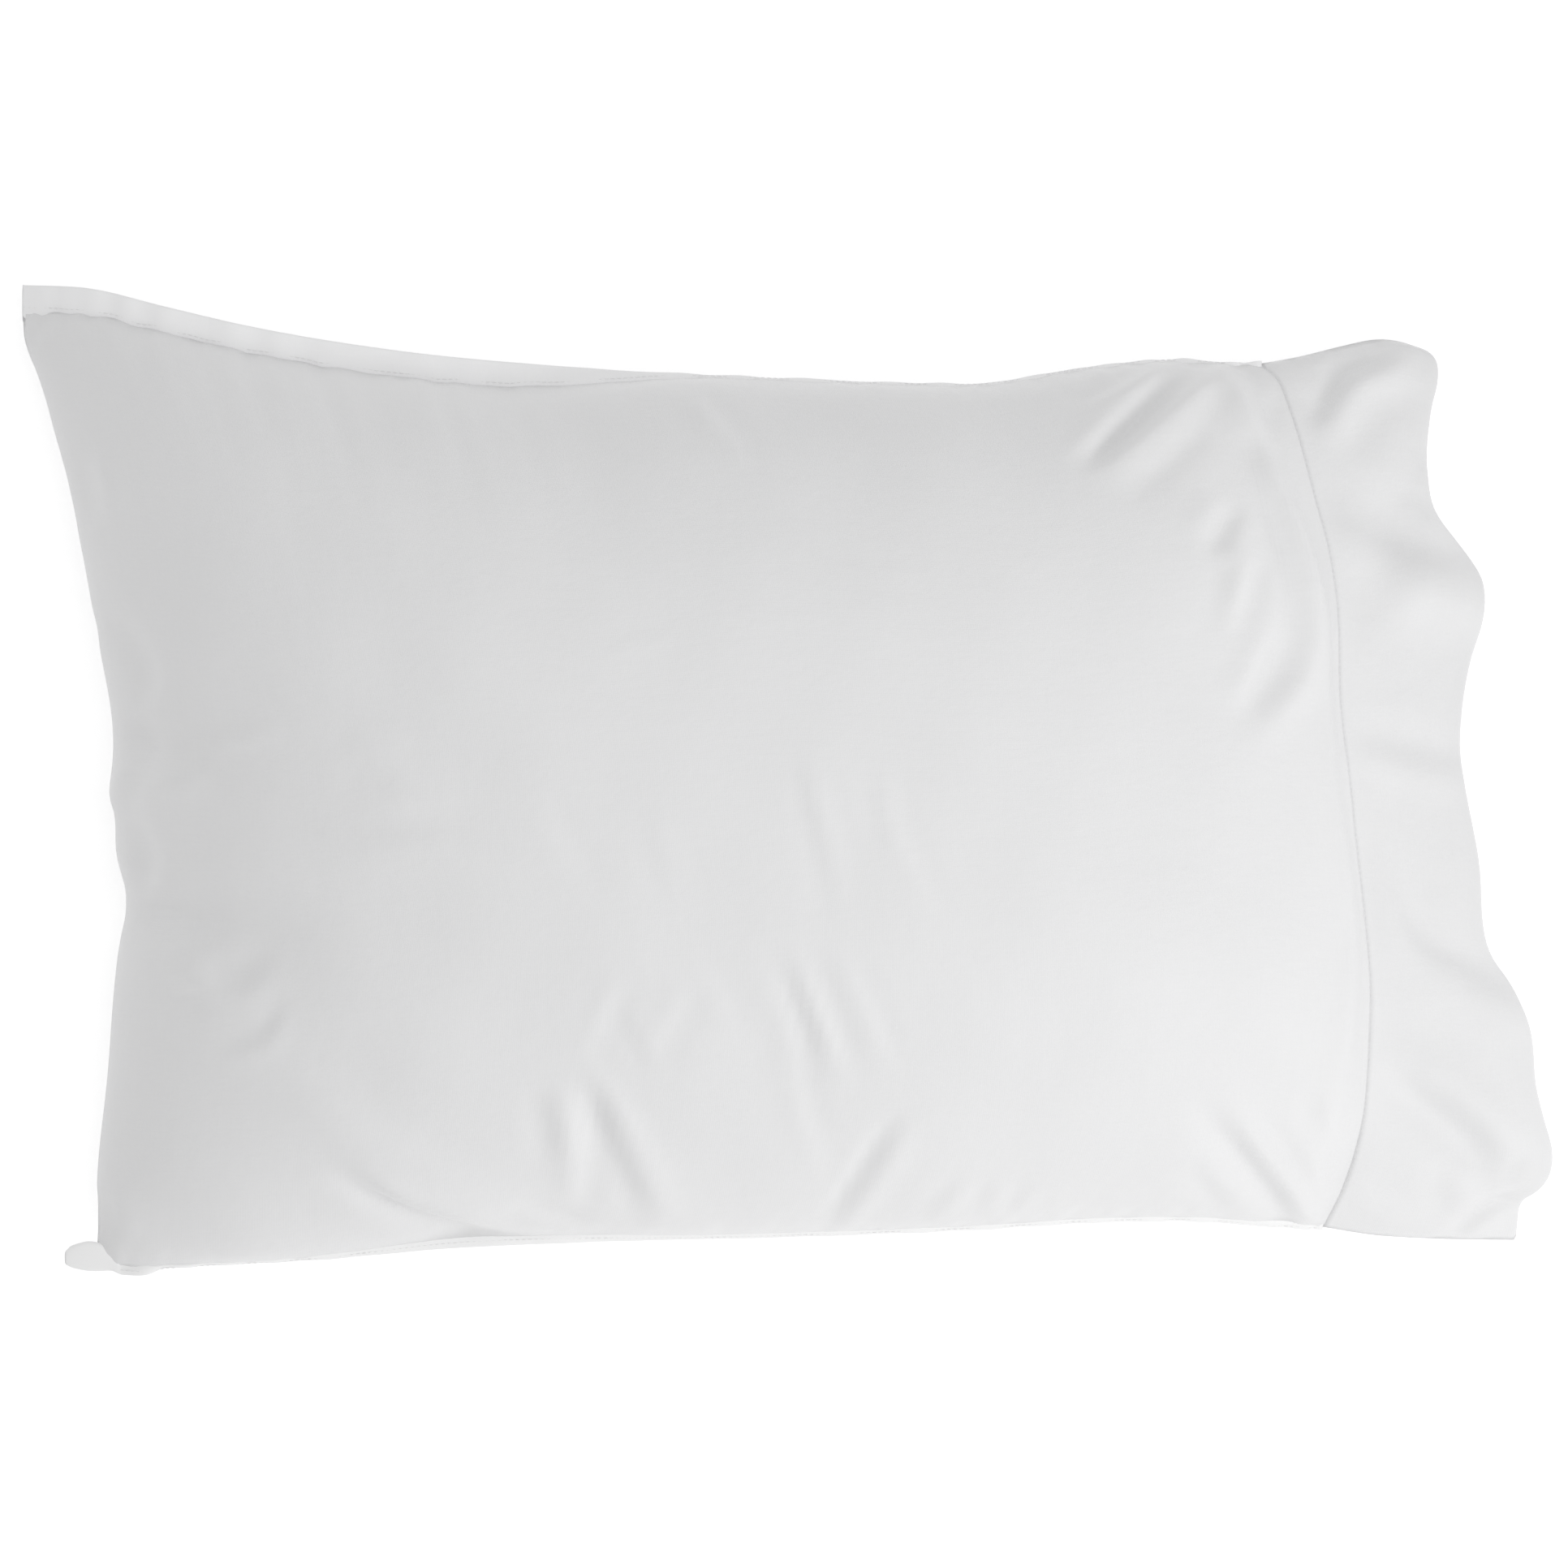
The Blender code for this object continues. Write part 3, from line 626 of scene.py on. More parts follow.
def stitching(name, path, upwards, stitch, look):
    """Separate stitches along a path, each a short thread that dips into the cloth at both ends."""
    length, gap, radius = stitch
    mesh = bmesh.new()
    stations = lengths_along(path)
    start = 0.0
    while start + length < stations[-1]:
        shares = np.linspace(0, 1, STITCH_RINGS)
        reach = start + shares * length
        centres = sampled(path, stations, reach)
        lifts = sampled(upwards, stations, reach)
        ahead = centres[-1] - centres[0]
        ahead /= np.linalg.norm(ahead)
        rings = []
        for centre, lift, rise in zip(centres, lifts, np.sin(np.pi * shares)):
            lift = lift / np.linalg.norm(lift)
            aside = np.cross(lift, ahead)
            middle = centre + lift * radius * (1.1 * rise - 0.6)
            size = radius * (0.45 + 0.55 * rise)
            ring = []
            for side in range(STITCH_SIDES):
                turn = 2 * math.pi * side / STITCH_SIDES
                ring.append(
                    mesh.verts.new(middle + size * (math.cos(turn) * aside + math.sin(turn) * lift))
                )
            rings.append(ring)
        for first, second in zip(rings, rings[1:]):
            for k in range(STITCH_SIDES):
                after = (k + 1) % STITCH_SIDES
                mesh.faces.new((first[k], first[after], second[after], second[k]))
        mesh.faces.new(rings[0][::-1])
        mesh.faces.new(rings[-1])
        start += length + gap
    bmesh.ops.recalc_face_normals(mesh, faces=mesh.faces)
    return object_from(mesh, name, look)


# ---------------------------------------------------------------- materials


WAVE_REPEAT = 0.3142  # how far apart the wave texture's bands are at a scale of 1
THREAD_WIDTH = 0.00045


class Look:
    """A Principled material under construction, with short calls for the nodes that it uses."""

    def __init__(self, name, roughness, sheen=0.0, sheen_roughness=0.5):
        self.material = bpy.data.materials.new(name)
        self.material.use_nodes = True
        self.tree = self.material.node_tree
        self.shader = self.tree.nodes["Principled BSDF"]
        self.shader.inputs["Roughness"].default_value = roughness
        self.shader.inputs["Sheen Weight"].default_value = sheen
        self.shader.inputs["Sheen Roughness"].default_value = sheen_roughness
        self.shader.inputs["Specular IOR Level"].default_value = 0.35
        self.height = None

    def node(self, kind, **inputs):
        """A new node, each input of which is given a value or another node's output."""
        made = self.tree.nodes.new(kind)
        for name, value in inputs.items():
            socket = made.inputs[name.replace("_", " ")]
            if isinstance(value, bpy.types.NodeSocket):
                self.tree.links.new(value, socket)
            else:
                socket.default_value = value
        return made

    def math(self, operation, first, second):
        made = self.tree.nodes.new("ShaderNodeMath")
        made.operation = operation
        for socket, value in zip(made.inputs, (first, second)):
            if isinstance(value, bpy.types.NodeSocket):
                self.tree.links.new(value, socket)
            else:
                socket.default_value = value
        return made.outputs[0]

    def mixed(self, first, share, second):
        """`share` of the first value and the rest of the second."""
        return self.math(
            "ADD", self.math("MULTIPLY", first, share), self.math("MULTIPLY", second, 1 - share)
        )

    def cloth_place(self):
        """Coordinates on the cut cloth, in metres."""
        made = self.tree.nodes.new("ShaderNodeAttribute")
        made.attribute_name = "cloth"
        return made.outputs["Vector"]

    def scaled(self, vector, scale):
        made = self.tree.nodes.new("ShaderNodeMapping")
        made.inputs["Scale"].default_value = scale
        self.tree.links.new(vector, made.inputs["Vector"])
        return made.outputs["Vector"]

    def noise(self, vector, scale, detail=3.0, roughness=0.5):
        """Soft random blotches, 1 / `scale` across, with finer ones in them as `detail` grows."""
        return self.node(
            "ShaderNodeTexNoise", Vector=vector, Scale=scale, Detail=detail, Roughness=roughness
        ).outputs["Fac"]

    def stripes(self, vector, direction, width):
        """Soft stripes, dark and light in turn, each `width` wide."""
        made = self.node("ShaderNodeTexWave", Vector=vector, Scale=WAVE_REPEAT / (2 * width))
        made.wave_type = "BANDS"
        made.bands_direction = direction
        return made.outputs["Fac"]

    def raised(self, height, distance, strength):
        """Adds a relief on top of what is there."""
        bump = self.node("ShaderNodeBump", Height=height, Strength=strength, Distance=distance)
        if self.height is not None:
            self.tree.links.new(self.height, bump.inputs["Normal"])
        self.height = bump.outputs["Normal"]
        self.tree.links.new(self.height, self.shader.inputs["Normal"])

    def coloured(self, factor, dark, light):
        """The colour, from dark to light as the factor grows."""
        ramp = self.node("ShaderNodeValToRGB", Fac=factor)
        ramp.color_ramp.elements[0].color = (*dark, 1.0)
        ramp.color_ramp.elements[1].color = (*light, 1.0)
        self.tree.links.new(ramp.outputs["Color"], self.shader.inputs["Base Color"])

    def roughened(self, factor, low, high):
        """The roughness, from low to high as the factor grows."""
        made = self.node("ShaderNodeMapRange", Value=factor, To_Min=low, To_Max=high)
        self.tree.links.new(made.outputs[0], self.shader.inputs["Roughness"])


def case_cotton(name, dark, light):
    """Close white sateen: fine warp and weft, slight slubs, a soft sheen."""
    look = Look(name, 0.62, sheen=0.22, sheen_roughness=0.45)
    place = look.cloth_place()
    warp = look.stripes(place, "X", THREAD_WIDTH)
    weft = look.stripes(place, "Y", THREAD_WIDTH * 1.3)
    weave = look.mixed(warp, 0.65, weft)
    slubs = look.noise(look.scaled(place, (900, 60, 1)), 1.0, 2.0)
    cross_slubs = look.noise(look.scaled(place, (60, 900, 1)), 1.0, 2.0)
    threads = look.mixed(slubs, 0.5, cross_slubs)
    cloudy = look.noise(look.scaled(place, (22, 22, 1)), 1.0, 4.0, 0.6)
    look.coloured(look.mixed(threads, 0.6, cloudy), dark, light)
    look.roughened(threads, 0.54, 0.72)
    crumple = look.noise(look.scaled(place, (150, 190, 1)), 1.0, 4.0, 0.55)
    look.raised(crumple, 0.0009, 0.30)
    look.raised(weave, 0.00006, 0.5)
    return look.material


def thread_look(name, colour):
    """Sewing thread, with a slightly uneven surface."""
    look = Look(name, 0.5, sheen=0.1)
    noise = look.noise(look.node("ShaderNodeTexCoord").outputs["Object"], 900.0, 2.0)
    look.coloured(noise, tuple(0.88 * c for c in colour), colour)
    look.raised(noise, 0.0001, 0.5)
    return look.material


def ticking_cotton():
    """Dense white cotton twill with a woven-in satin stripe."""
    look = Look("ticking_cotton", 0.75, sheen=0.15)
    place = look.cloth_place()
    twill = look.stripes(place, "DIAGONAL", 0.0009)
    stripes = look.stripes(place, "Y", 0.024)
    satin = look.node("ShaderNodeMapRange", Value=stripes, From_Min=0.42, From_Max=0.58).outputs[0]
    cloudy = look.noise(look.scaled(place, (30, 30, 1)), 1.0, 4.0, 0.6)
    look.coloured(look.mixed(satin, 0.55, cloudy), (0.68, 0.665, 0.63), (0.78, 0.77, 0.74))
    look.roughened(satin, 0.80, 0.50)
    crumple = look.noise(look.scaled(place, (90, 90, 1)), 1.0, 4.0, 0.5)
    look.raised(crumple, 0.0012, 0.30)
    look.raised(twill, 0.0001, 0.5)
    return look.material


def piping_cotton():
    """A bias strip of cotton, wrapped round the cord at a slant."""
    look = Look("piping_cotton", 0.7, sheen=0.15)
    place = look.cloth_place()
    wrapped = look.stripes(look.scaled(place, (1, 0.6, 1)), "DIAGONAL", 0.0016)
    look.coloured(wrapped, (0.60, 0.58, 0.54), (0.74, 0.73, 0.69))
    look.raised(wrapped, 0.0003, 0.6)
    return look.material


def fibre_look():
    """Fluffy white polyester fibre."""
    look = Look("fibre_fill", 0.9, sheen=0.5)
    place = look.node("ShaderNodeTexCoord").outputs["Object"]
    tufts = look.noise(place, 60.0, 8.0, 0.7)
    strands = look.noise(look.scaled(place, (1500, 120, 400)), 1.0, 4.0, 0.7)
    look.coloured(tufts, (0.80, 0.80, 0.79), (0.93, 0.93, 0.92))
    look.raised(tufts, 0.004, 0.8)
    look.raised(strands, 0.0006, 0.6)
    return look.material


def satin_label():
    """Ribbed white satin ribbon."""
    look = Look("label_satin", 0.35, sheen=0.1)
    place = look.cloth_place()
    rib = look.stripes(place, "X", 0.0005)
    look.coloured(rib, (0.84, 0.84, 0.83), (0.92, 0.92, 0.91))
    look.raised(rib, 0.00008, 0.5)
    return look.material


# ---------------------------------------------------------------- the case


REFINE = 2  # grid steps after refining, for each step before it
HEM_ROW = REFINE * BODY_STEPS
CUFF_RAISE = 0.00022  # the hem's outer ply lies on top of the body's cloth
BODY_THICKNESS = 0.0008
CUFF_THICKNESS = 0.0020
SETTLE_FRAMES = 40
CLOTH_SETTINGS = {
    "quality": 6,
    "mass": 0.12,
    "tension_stiffness": 40,
    "compression_stiffness": 12,
    "shear_stiffness": 8,
    "bending_stiffness": 3,
    "tension_damping": 8,
    "compression_damping": 8,
    "shear_damping": 8,
    "bending_damping": 1,
    "air_damping": 2,
    "pin_stiffness": 1,
    "use_pressure": True,
    "uniform_pressure_force": 5,
}
MOST_MOTION = 0.010  # how far the simulation may move a point
SEWN_HOLD = 0.050  # within this distance of a seam the cloth doesn't move sideways freely
ON_TABLE = 0.0005  # cloth that starts lower than this lies on the table and stays
ON_SEAM = 1e-6
FILL_FADE = (0.035, 0.005)  # before the hem seam, where the filling's push on the cloth fades out
SEAM_FADE = (0.0, 0.012)  # in from the seams, where the cloth becomes free to wave
TOP_WAVES = (0.085, 0.0006, 3)  # wavelength, height, seed
BOTTOM_WAVES = (0.070, 0.0012, 8)
TOP_PUCKERS = (0.016, 0.0007, 0.016, 5)  # depth in from the seam, height, spacing, seed
BOTTOM_PUCKERS = (0.020, 0.0009, 0.017, 11)
CUFF_CLEARANCE = 0.0012  # the hem's raised underside and its stitches stay above the table
LEAST_GAP = 0.0006


def bag_mesh(top, bottom):
    """One open bag over both grids. It returns the mesh and each grid's vertex numbers."""
    rows, columns = top.shape[:2]
    top_index = np.arange(rows * columns).reshape(rows, columns)
    bottom_index = top_index.copy()
    own = bottom_index[1:, 1:-1]
    own[...] = rows * columns + np.arange(own.size).reshape(own.shape)
    points = np.concatenate([top.reshape(-1, 3), bottom[1:, 1:-1].reshape(-1, 3)])
    faces = []
    for index, step in ((top_index, 1), (bottom_index, -1)):
        corners = np.stack([index[:-1, :-1], index[1:, :-1], index[1:, 1:], index[:-1, 1:]], axis=-1)
        faces.extend(corners.reshape(-1, 4)[:, ::step].tolist())
    data = bpy.data.meshes.new("bag")
    data.from_pydata(points.tolist(), [], faces)
    return data, top_index, bottom_index


def edge_distance(pattern):
    """How far in from the nearer long seam each place on the cut cloth is."""
    return np.minimum(pattern[..., 1], FLAT_WIDTH - pattern[..., 1])


def settled(top, bottom, pattern):
    """Lets the cloth, cut to the flat pattern and sewn at its edges, settle over what fills it."""
    data, top_index, bottom_index = bag_mesh(top, bottom)
    bag = bpy.data.objects.new("bag", data)
    bpy.context.scene.collection.objects.link(bag)
    start = np.concatenate([top.reshape(-1, 3), bottom[1:, 1:-1].reshape(-1, 3)])
    cut = np.concatenate([pattern.reshape(-1, 3), pattern[1:, 1:-1].reshape(-1, 3)])
    bag.shape_key_add(name="start")
    cut_key = bag.shape_key_add(name="cut")
    cut_key.data.foreach_set("co", cut.astype(np.float32).ravel())
    cut_key.value = 0.0
    held = bag.vertex_groups.new(name="held")
    filled = bag.vertex_groups.new(name="filled")
    edge = edge_distance(pattern)
    rim_x = FLAT_BODY_LENGTH + FLAT_HEM_DEPTH
    fixed = (edge < ON_SEAM) | (pattern[..., 0] < ON_SEAM) | (pattern[..., 0] > rim_x - ON_SEAM)
    fill_ends = [FLAT_BODY_LENGTH - fade for fade in FILL_FADE]
    for index, grid in ((top_index, top), (bottom_index, bottom)):
        pinned = fixed | (grid[..., 2] < ON_TABLE)
        held.add(index[pinned].tolist(), 1.0, "REPLACE")
        share = 1 - smooth_step(*fill_ends, pattern[..., 0])
        for value in np.unique(share.round(2)):
            filled.add(index[share.round(2) == value].tolist(), float(value), "REPLACE")
    cloth = bag.modifiers.new("cloth", "CLOTH")
    settings = cloth.settings
    for setting, value in CLOTH_SETTINGS.items():
        setattr(settings, setting, value)
    settings.rest_shape_key = cut_key
    settings.vertex_group_mass = held.name
    settings.vertex_group_pressure = filled.name
    settings.effector_weights.gravity = 0
    cloth.collision_settings.use_collision = False
    cloth.point_cache.frame_start = 1
    cloth.point_cache.frame_end = SETTLE_FRAMES
    scene = bpy.context.scene
    for number in range(1, SETTLE_FRAMES + 1):
        scene.frame_set(number)
    evaluated = bag.evaluated_get(bpy.context.evaluated_depsgraph_get())
    points = np.empty(len(start) * 3, np.float32)
    evaluated.data.vertices.foreach_get("co", points)
    motion = points.reshape(-1, 3) - start
    distance = np.linalg.norm(motion, axis=1, keepdims=True)
    motion *= MOST_MOTION * np.tanh(distance / MOST_MOTION) / np.maximum(distance, 1e-9)
    from_edge = smooth_step(0, SEWN_HOLD, np.minimum(edge, pattern[..., 0]))
    sideways = np.concatenate([from_edge.reshape(-1), from_edge[1:, 1:-1].reshape(-1)])
    motion[:, :2] *= sideways[:, None]
    moved = start + motion
    scene.frame_set(1)
    bpy.data.objects.remove(bag)
    bpy.data.meshes.remove(data)
    return moved[top_index], moved[bottom_index]


def drape_case():
    """The case's top and bottom as fine grids, with their places on the cut cloth."""
    top, bottom = case_sheet(1), case_sheet(-1)
    pattern = flat_pattern(top)
    top, bottom = settled(top, bottom, pattern)
    return refined(top), refined(bottom), refined(pattern)


def shaped(top, bottom, pattern):
    """Adds what the folds, the seams and the loose cloth do to the draped grids."""
    edge = edge_distance(pattern)
    inward = smooth_step(*SEAM_FADE, edge)
    at_seam = smooth_step(0, 0.004, edge)
    heights = undulation(top[..., :2], *TOP_WAVES) * inward
    heights += seam_puckers(pattern, *TOP_PUCKERS) * at_seam
    on_body = fold_heights(top[..., :2], BODY_FOLDS)
    on_cuff = fold_heights(top[..., :2], CUFF_FOLDS)
    beyond = smooth_step(HEM_ROW - 3, HEM_ROW + 5, np.arange(len(top)))[:, None]
    heights += (on_body * (1 - beyond) + on_cuff * beyond) * smooth_step(0, 0.006, edge)
    top = top + heights[..., None] * grid_normals(top, 1)
    lifted = smooth_step(0.002, 0.020, bottom[..., 2])
    under = undulation(bottom[..., :2], *BOTTOM_WAVES) * inward
    under += seam_puckers(pattern, *BOTTOM_PUCKERS) * at_seam
    bottom = bottom + (under * lifted)[..., None] * grid_normals(bottom, -1)
    floor = CUFF_CLEARANCE * beyond
    bottom[..., 2] = np.maximum(bottom[..., 2], floor)
    top[..., 2] = np.maximum(top[..., 2], floor + LEAST_GAP)
    bottom[:, [0, -1]] = top[:, [0, -1]]
    bottom[0] = top[0]
    return top, bottom


def placed(piece, body, node):
    """Tells the frame which body a piece rides on, and which CAD node it stands for."""
    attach(piece, body)
    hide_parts(node)
    return piece


def case_pieces():
    """The body's cloth and the hem, with the grids that they are made from."""
    cloth = case_cotton("case_cotton", (0.76, 0.76, 0.765), (0.82, 0.82, 0.825))
    top, bottom, pattern = drape_case()
    top, bottom = shaped(top, bottom, pattern)
    body_shell = tube_cloth(top, bottom, pattern, 0, HEM_ROW + 1, 0.0, BODY_THICKNESS, 1, wrap=False)
    body = object_from(body_shell, "case_cloth", cloth)
    rim_row = len(top) - 1
    cuff_shell = tube_cloth(
        top, bottom, pattern, HEM_ROW, rim_row, CUFF_RAISE, CUFF_THICKNESS, 5, wrap=True
    )
    cuff = object_from(cuff_shell, "hem_band", cloth)
    for piece, node in ((body, "case_body"), (cuff, "hem_cuff")):
        placed(piece, "pillowcase", node)
    return body, cuff, top, bottom


BAND_THICKNESS = 0.0016
BAND_STATIONS = 300
BAND_SIDES, BAND_SQUARENESS = 20, 3.2
BAND_OVERLAP = 0.0022  # how far an allowance reaches in under the cloth
CORNER_OVERLAP = 0.0035  # and how much further at the far closed corner
BAND_RIPPLE = (0.0002, 0.0005)  # near and far
RIDGE_THINNING = 0.4  # share of its thickness that the far allowance loses where it turns down
STITCH_INSET = 0.0016
TUCK = 0.0007  # how far a turned-down allowance sits in from the edge
NEAR_START, NEAR_START_WIDTH = 0.06, 0.004  # the near allowance is this narrow up to this place
# The near allowance runs past the closed end as a flat dog-ear: centre x and y, and half its width
DOG_EAR = (
    (-0.3596, -0.2395, 0.0038), (-0.3575, -0.2390, 0.0054), (-0.3540, -0.2388, 0.0066),
    (-0.3490, -0.2387, 0.0075), (-0.3430, -0.2392, 0.0070), (-0.3370, -0.2410, 0.0050),
)
EAR_ROW = 12  # the dog-ear has gone into the seam allowance by here
EAR_STATIONS = 24
EAR_PUFF = 0.0022  # how much thicker its tip is


def far_turn(along):
    """How far the far allowance is turned down, in radians."""
    return FAR_RIDGE_TURN * smooth_step(*FAR_BAND_TURNS, along)


def near_turn(along):
    """How far the near allowance is turned down, so that only a part of its width shows."""
    shown = np.clip(near_band_width(along) / NEAR_BAND_WIDTH, 0, 1)
    return np.arccos(shown) * smooth_step(0.03, 0.06, along)


def ripples(stations, height, seed):
    """Slow, uneven waves along an allowance."""
    random = np.random.RandomState(seed)
    total = np.zeros_like(stations)
    for _ in range(4):
        wavelength = random.uniform(0.020, 0.060)
        total += np.sin(2 * np.pi * stations * FLAT_BODY_LENGTH / wavelength + random.uniform(0, 6.28))
    return height * total / 2


def with_dog_ear(centres, lean, upwards, half, start_height):
    """The near allowance with its first stations replaced by the dog-ear."""
    joint = [*centres[EAR_ROW, :2], half[EAR_ROW]]
    shares = np.linspace(0, 1, EAR_STATIONS)
    ear = curve_through(np.vstack([DOG_EAR, joint]))(shares)[:-1]
    count = len(ear)
    heights = np.linspace(start_height, centres[EAR_ROW, 2], count)
    centres = np.concatenate([np.column_stack([ear[:, :2], heights]), centres[EAR_ROW:]])
    lean = np.concatenate([np.repeat(lean[:1], count, axis=0), lean[EAR_ROW:]])
    upwards = np.concatenate([np.repeat(upwards[:1], count, axis=0), upwards[EAR_ROW:]])
    half = np.concatenate([ear[:, 2], half[EAR_ROW:]])
    thickness = np.full(len(centres), BAND_THICKNESS / 2)
    thickness[:count] += EAR_PUFF * (1 - shares[:-1] ** 2)
    return centres, lean, upwards, half, thickness


def side_band(side, look, top, outline, turn_at, seed):
    """The flattened seam allowance outside one long edge, and the path of its stitches."""
    is_far = side == "far"
    outwards = 1.0 if is_far else -1.0
    sewn = top[: HEM_ROW + 1, -1 if is_far else 0]
    stations = np.linspace(0, 1, BAND_STATIONS)
    reach = np.linspace(0, HEM_ROW, BAND_STATIONS)
    along = share_at(reach / REFINE, BODY_STEPS)
    inner = sampled(sewn, np.arange(len(sewn)), reach)
    turn = turn_at(along)
    overlap = np.full_like(along, BAND_OVERLAP)
    thickness = np.full_like(along, BAND_THICKNESS / 2)
    if is_far:
        widths = np.abs(outline(along)[:, 1] - inner[:, 1]) / np.cos(turn)
        overlap += CORNER_OVERLAP * (1 - smooth_step(0, 0.04, along))
        thickness *= 1 - RIDGE_THINNING * smooth_step(*FAR_BAND_TURNS, along)
    else:
        widths = np.where(along < NEAR_START, NEAR_START_WIDTH, NEAR_BAND_WIDTH)
    half = (widths + overlap) / 2
    lean = np.stack([0 * turn, outwards * np.cos(turn), -np.sin(turn)], axis=1)
    centres = inner + lean * (half - overlap)[:, None]
    upwards = np.cross(np.gradient(centres, axis=0), lean) * outwards
    upwards /= np.linalg.norm(upwards, axis=1, keepdims=True)
    tucked = -TUCK * (np.sin(turn) ** 2)[:, None] * upwards
    centres = centres + ripples(stations, BAND_RIPPLE[is_far], seed)[:, None] * upwards + tucked
    stitched_at = np.minimum(STITCH_INSET, widths / 2)
    stitch_path = inner + lean * stitched_at[:, None] + upwards * thickness[:, None] + tucked
    sweep = (centres, lean, upwards, half, thickness)
    if not is_far:
        sweep = with_dog_ear(centres, lean, upwards, half, inner[0, 2])
    band = object_from(swept(*sweep, BAND_SIDES, BAND_SQUARENESS), f"{side}_seam_band", look)
    placed(band, "pillowcase", f"{side}_side_seam")
    return band, stitch_path, upwards


def sheet_between(outer, inner, cloth):
    """A closed sheet between two grids of points, joined round their borders."""
    first, last = (outer[0] + inner[0]) / 2, (outer[-1] + inner[-1]) / 2
    loops = [[*first, *first[::-1]]]
    loops += [[*over, *under[::-1]] for over, under in zip(outer, inner)]
    loops.append([*last, *last[::-1]])
    cloth_loops = [[*row, *row[::-1]] for row in cloth]
    return sealed(lofted(loops, [cloth_loops[0], *cloth_loops, cloth_loops[-1]]))


LABEL_THICKNESS = 0.0006
CASE_LABEL_PLACE = 0.45  # share of the hem's depth
CASE_LABEL_SIZE = (0.022, 0.028)
CASE_LABEL_CELLS = (12, 15)
CASE_LABEL_INSET = 0.006
CASE_LABEL_REACH = 0.006  # how far round each of its places the hem's height is averaged


def label(name, node, body, middle, look):
    """A woven label, as a thin sheet on a grid of points."""
    lift = np.array([0, 0, LABEL_THICKNESS / 2])
    place = np.zeros_like(middle)
    place[..., :2] = middle[..., :2] - middle[0, 0, :2]
    made = object_from(sheet_between(middle + lift, middle - lift, place), name, look)
    return placed(made, body, node)


def case_label(top, bottom, look):
    """The care label, sewn inside the hem at the near seam."""
    middle = (top + bottom) / 2
    seam = grid_point(middle, np.array(HEM_ROW + CASE_LABEL_PLACE * REFINE * CUFF_STEPS), np.array(0.0))
    rows, columns = CASE_LABEL_CELLS
    x = seam[0] + np.linspace(-0.5, 0.5, rows)[:, None] * CASE_LABEL_SIZE[0]
    y = seam[1] + CASE_LABEL_INSET + np.linspace(0, 1, columns)[None, :] * CASE_LABEL_SIZE[1]
    cuff = middle[HEM_ROW:].reshape(-1, 3)
    away = (x[..., None] - cuff[:, 0]) ** 2 + (y[..., None] - cuff[:, 1]) ** 2
    weights = np.exp(-away / CASE_LABEL_REACH**2)
    z = (weights * cuff[:, 2]).sum(axis=-1) / weights.sum(axis=-1)
    return label("care_label", "case_label", "pillowcase", grid_from(x, y, z), look)


HEM_STITCH_PLACE = 0.2  # share of a row past the hem seam
HEM_STITCH_LIFT = 0.00005


def hem_stitches(top, bottom, look):
    """The line of stitches round the case where the hem starts."""
    loop = around_tube(top, bottom)
    normals = around_tube(grid_normals(top, 1), grid_normals(bottom, -1))[HEM_ROW + 1]
    path = (1 - HEM_STITCH_PLACE) * loop[HEM_ROW] + HEM_STITCH_PLACE * loop[HEM_ROW + 1]
    path = path + (CUFF_RAISE + HEM_STITCH_LIFT) * normals
    path = np.concatenate([path, path[:1]])
    upwards = np.concatenate([normals, normals[:1]])
    line = stitching("hem_stitches", path, upwards, HEM_STITCH, look)
    return placed(line, "pillowcase", "hem_stitching")


def build_case(satin):
    """The whole case. It returns the grids of its top and bottom, which the pillow stays under."""
    body, cuff, top, bottom = case_pieces()
    # The far allowance gets a lighter copy of the case cotton: painted light, which brightens the flat band
    # where the pillow's body shades it from the key light
    white = case_cotton("seam_cotton", (0.90, 0.90, 0.905), (0.94, 0.94, 0.945))
    plain = bpy.data.materials["case_cotton"]
    thread = thread_look("thread", (0.82, 0.82, 0.83))
    light_thread = thread_look("light_thread", (0.92, 0.92, 0.92))
    on_body = []
    for side, look, outline, turn_at, seed in (
        ("far", white, far_outline, far_turn, 21),
        ("near", plain, near_outline, near_turn, 22),
    ):
        band, path, upwards = side_band(side, look, top, outline, turn_at, seed)
        line = stitching(f"{side}_seam_stitches", path, upwards, SEAM_STITCH, light_thread)
        placed(line, "pillowcase", f"{side}_seam_stitching")
        on_body += [band, line]
    on_cuff = [hem_stitches(top, bottom, thread), case_label(top, bottom, satin)]
    for piece in (body, cuff, *on_body, *on_cuff):
        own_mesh(piece)
    return top, bottom


# ---------------------------------------------------------------- the pillow inside

INSERT_GAP = 0.0045  # between the case's outer face and the ticking's
INSERT_START, INSERT_END = 0.035, 0.955
BODY_LENGTH, BODY_WIDTH = 0.620, 0.430
INSERT_MARGIN = 0.024
INSERT_EDGE_SHARE = 0.75  # how strongly its grids crowd towards their edges
LEAST_CASE_GAP = 0.0024
TICKING_CELLS = (120, 90)
TICKING_THICKNESS = 0.0013
TICKING_LIFT = 0.0002
TICKING_PUCKERS = (0.020, 0.5, 0.020, 31)  # depth in from the seam, height, spacing, seed
TICKING_WAVES = (0.06, 0.35, 33)  # wavelength, height, seed
PUCKER_DEPTH = 0.0016
FILL_GAP = 0.0008
FILL_CELLS = (90, 66)
FILL_LUMPS = (0.045, 0.003)  # wavelength and height
FILL_EDGE = 0.05  # how far in the filling becomes fully lumpy
PIPING_RADIUS = 0.0022
PIPING_OUT = 0.0028  # how far out of the ticking's edge its middle lies
PIPING_SPACING = 0.0025
PIPING_SIDES = 12
PIPING_SMOOTHINGS = 4
CLOSING_PLACE = 0.975  # share of the pillow's length
CLOSING_RUN = (0.30, 0.70)  # shares of its width
CLOSING_STATIONS = 60
CLOSING_LIFT = 0.0004
TAG_PLACE = 0.82  # share of the end's width
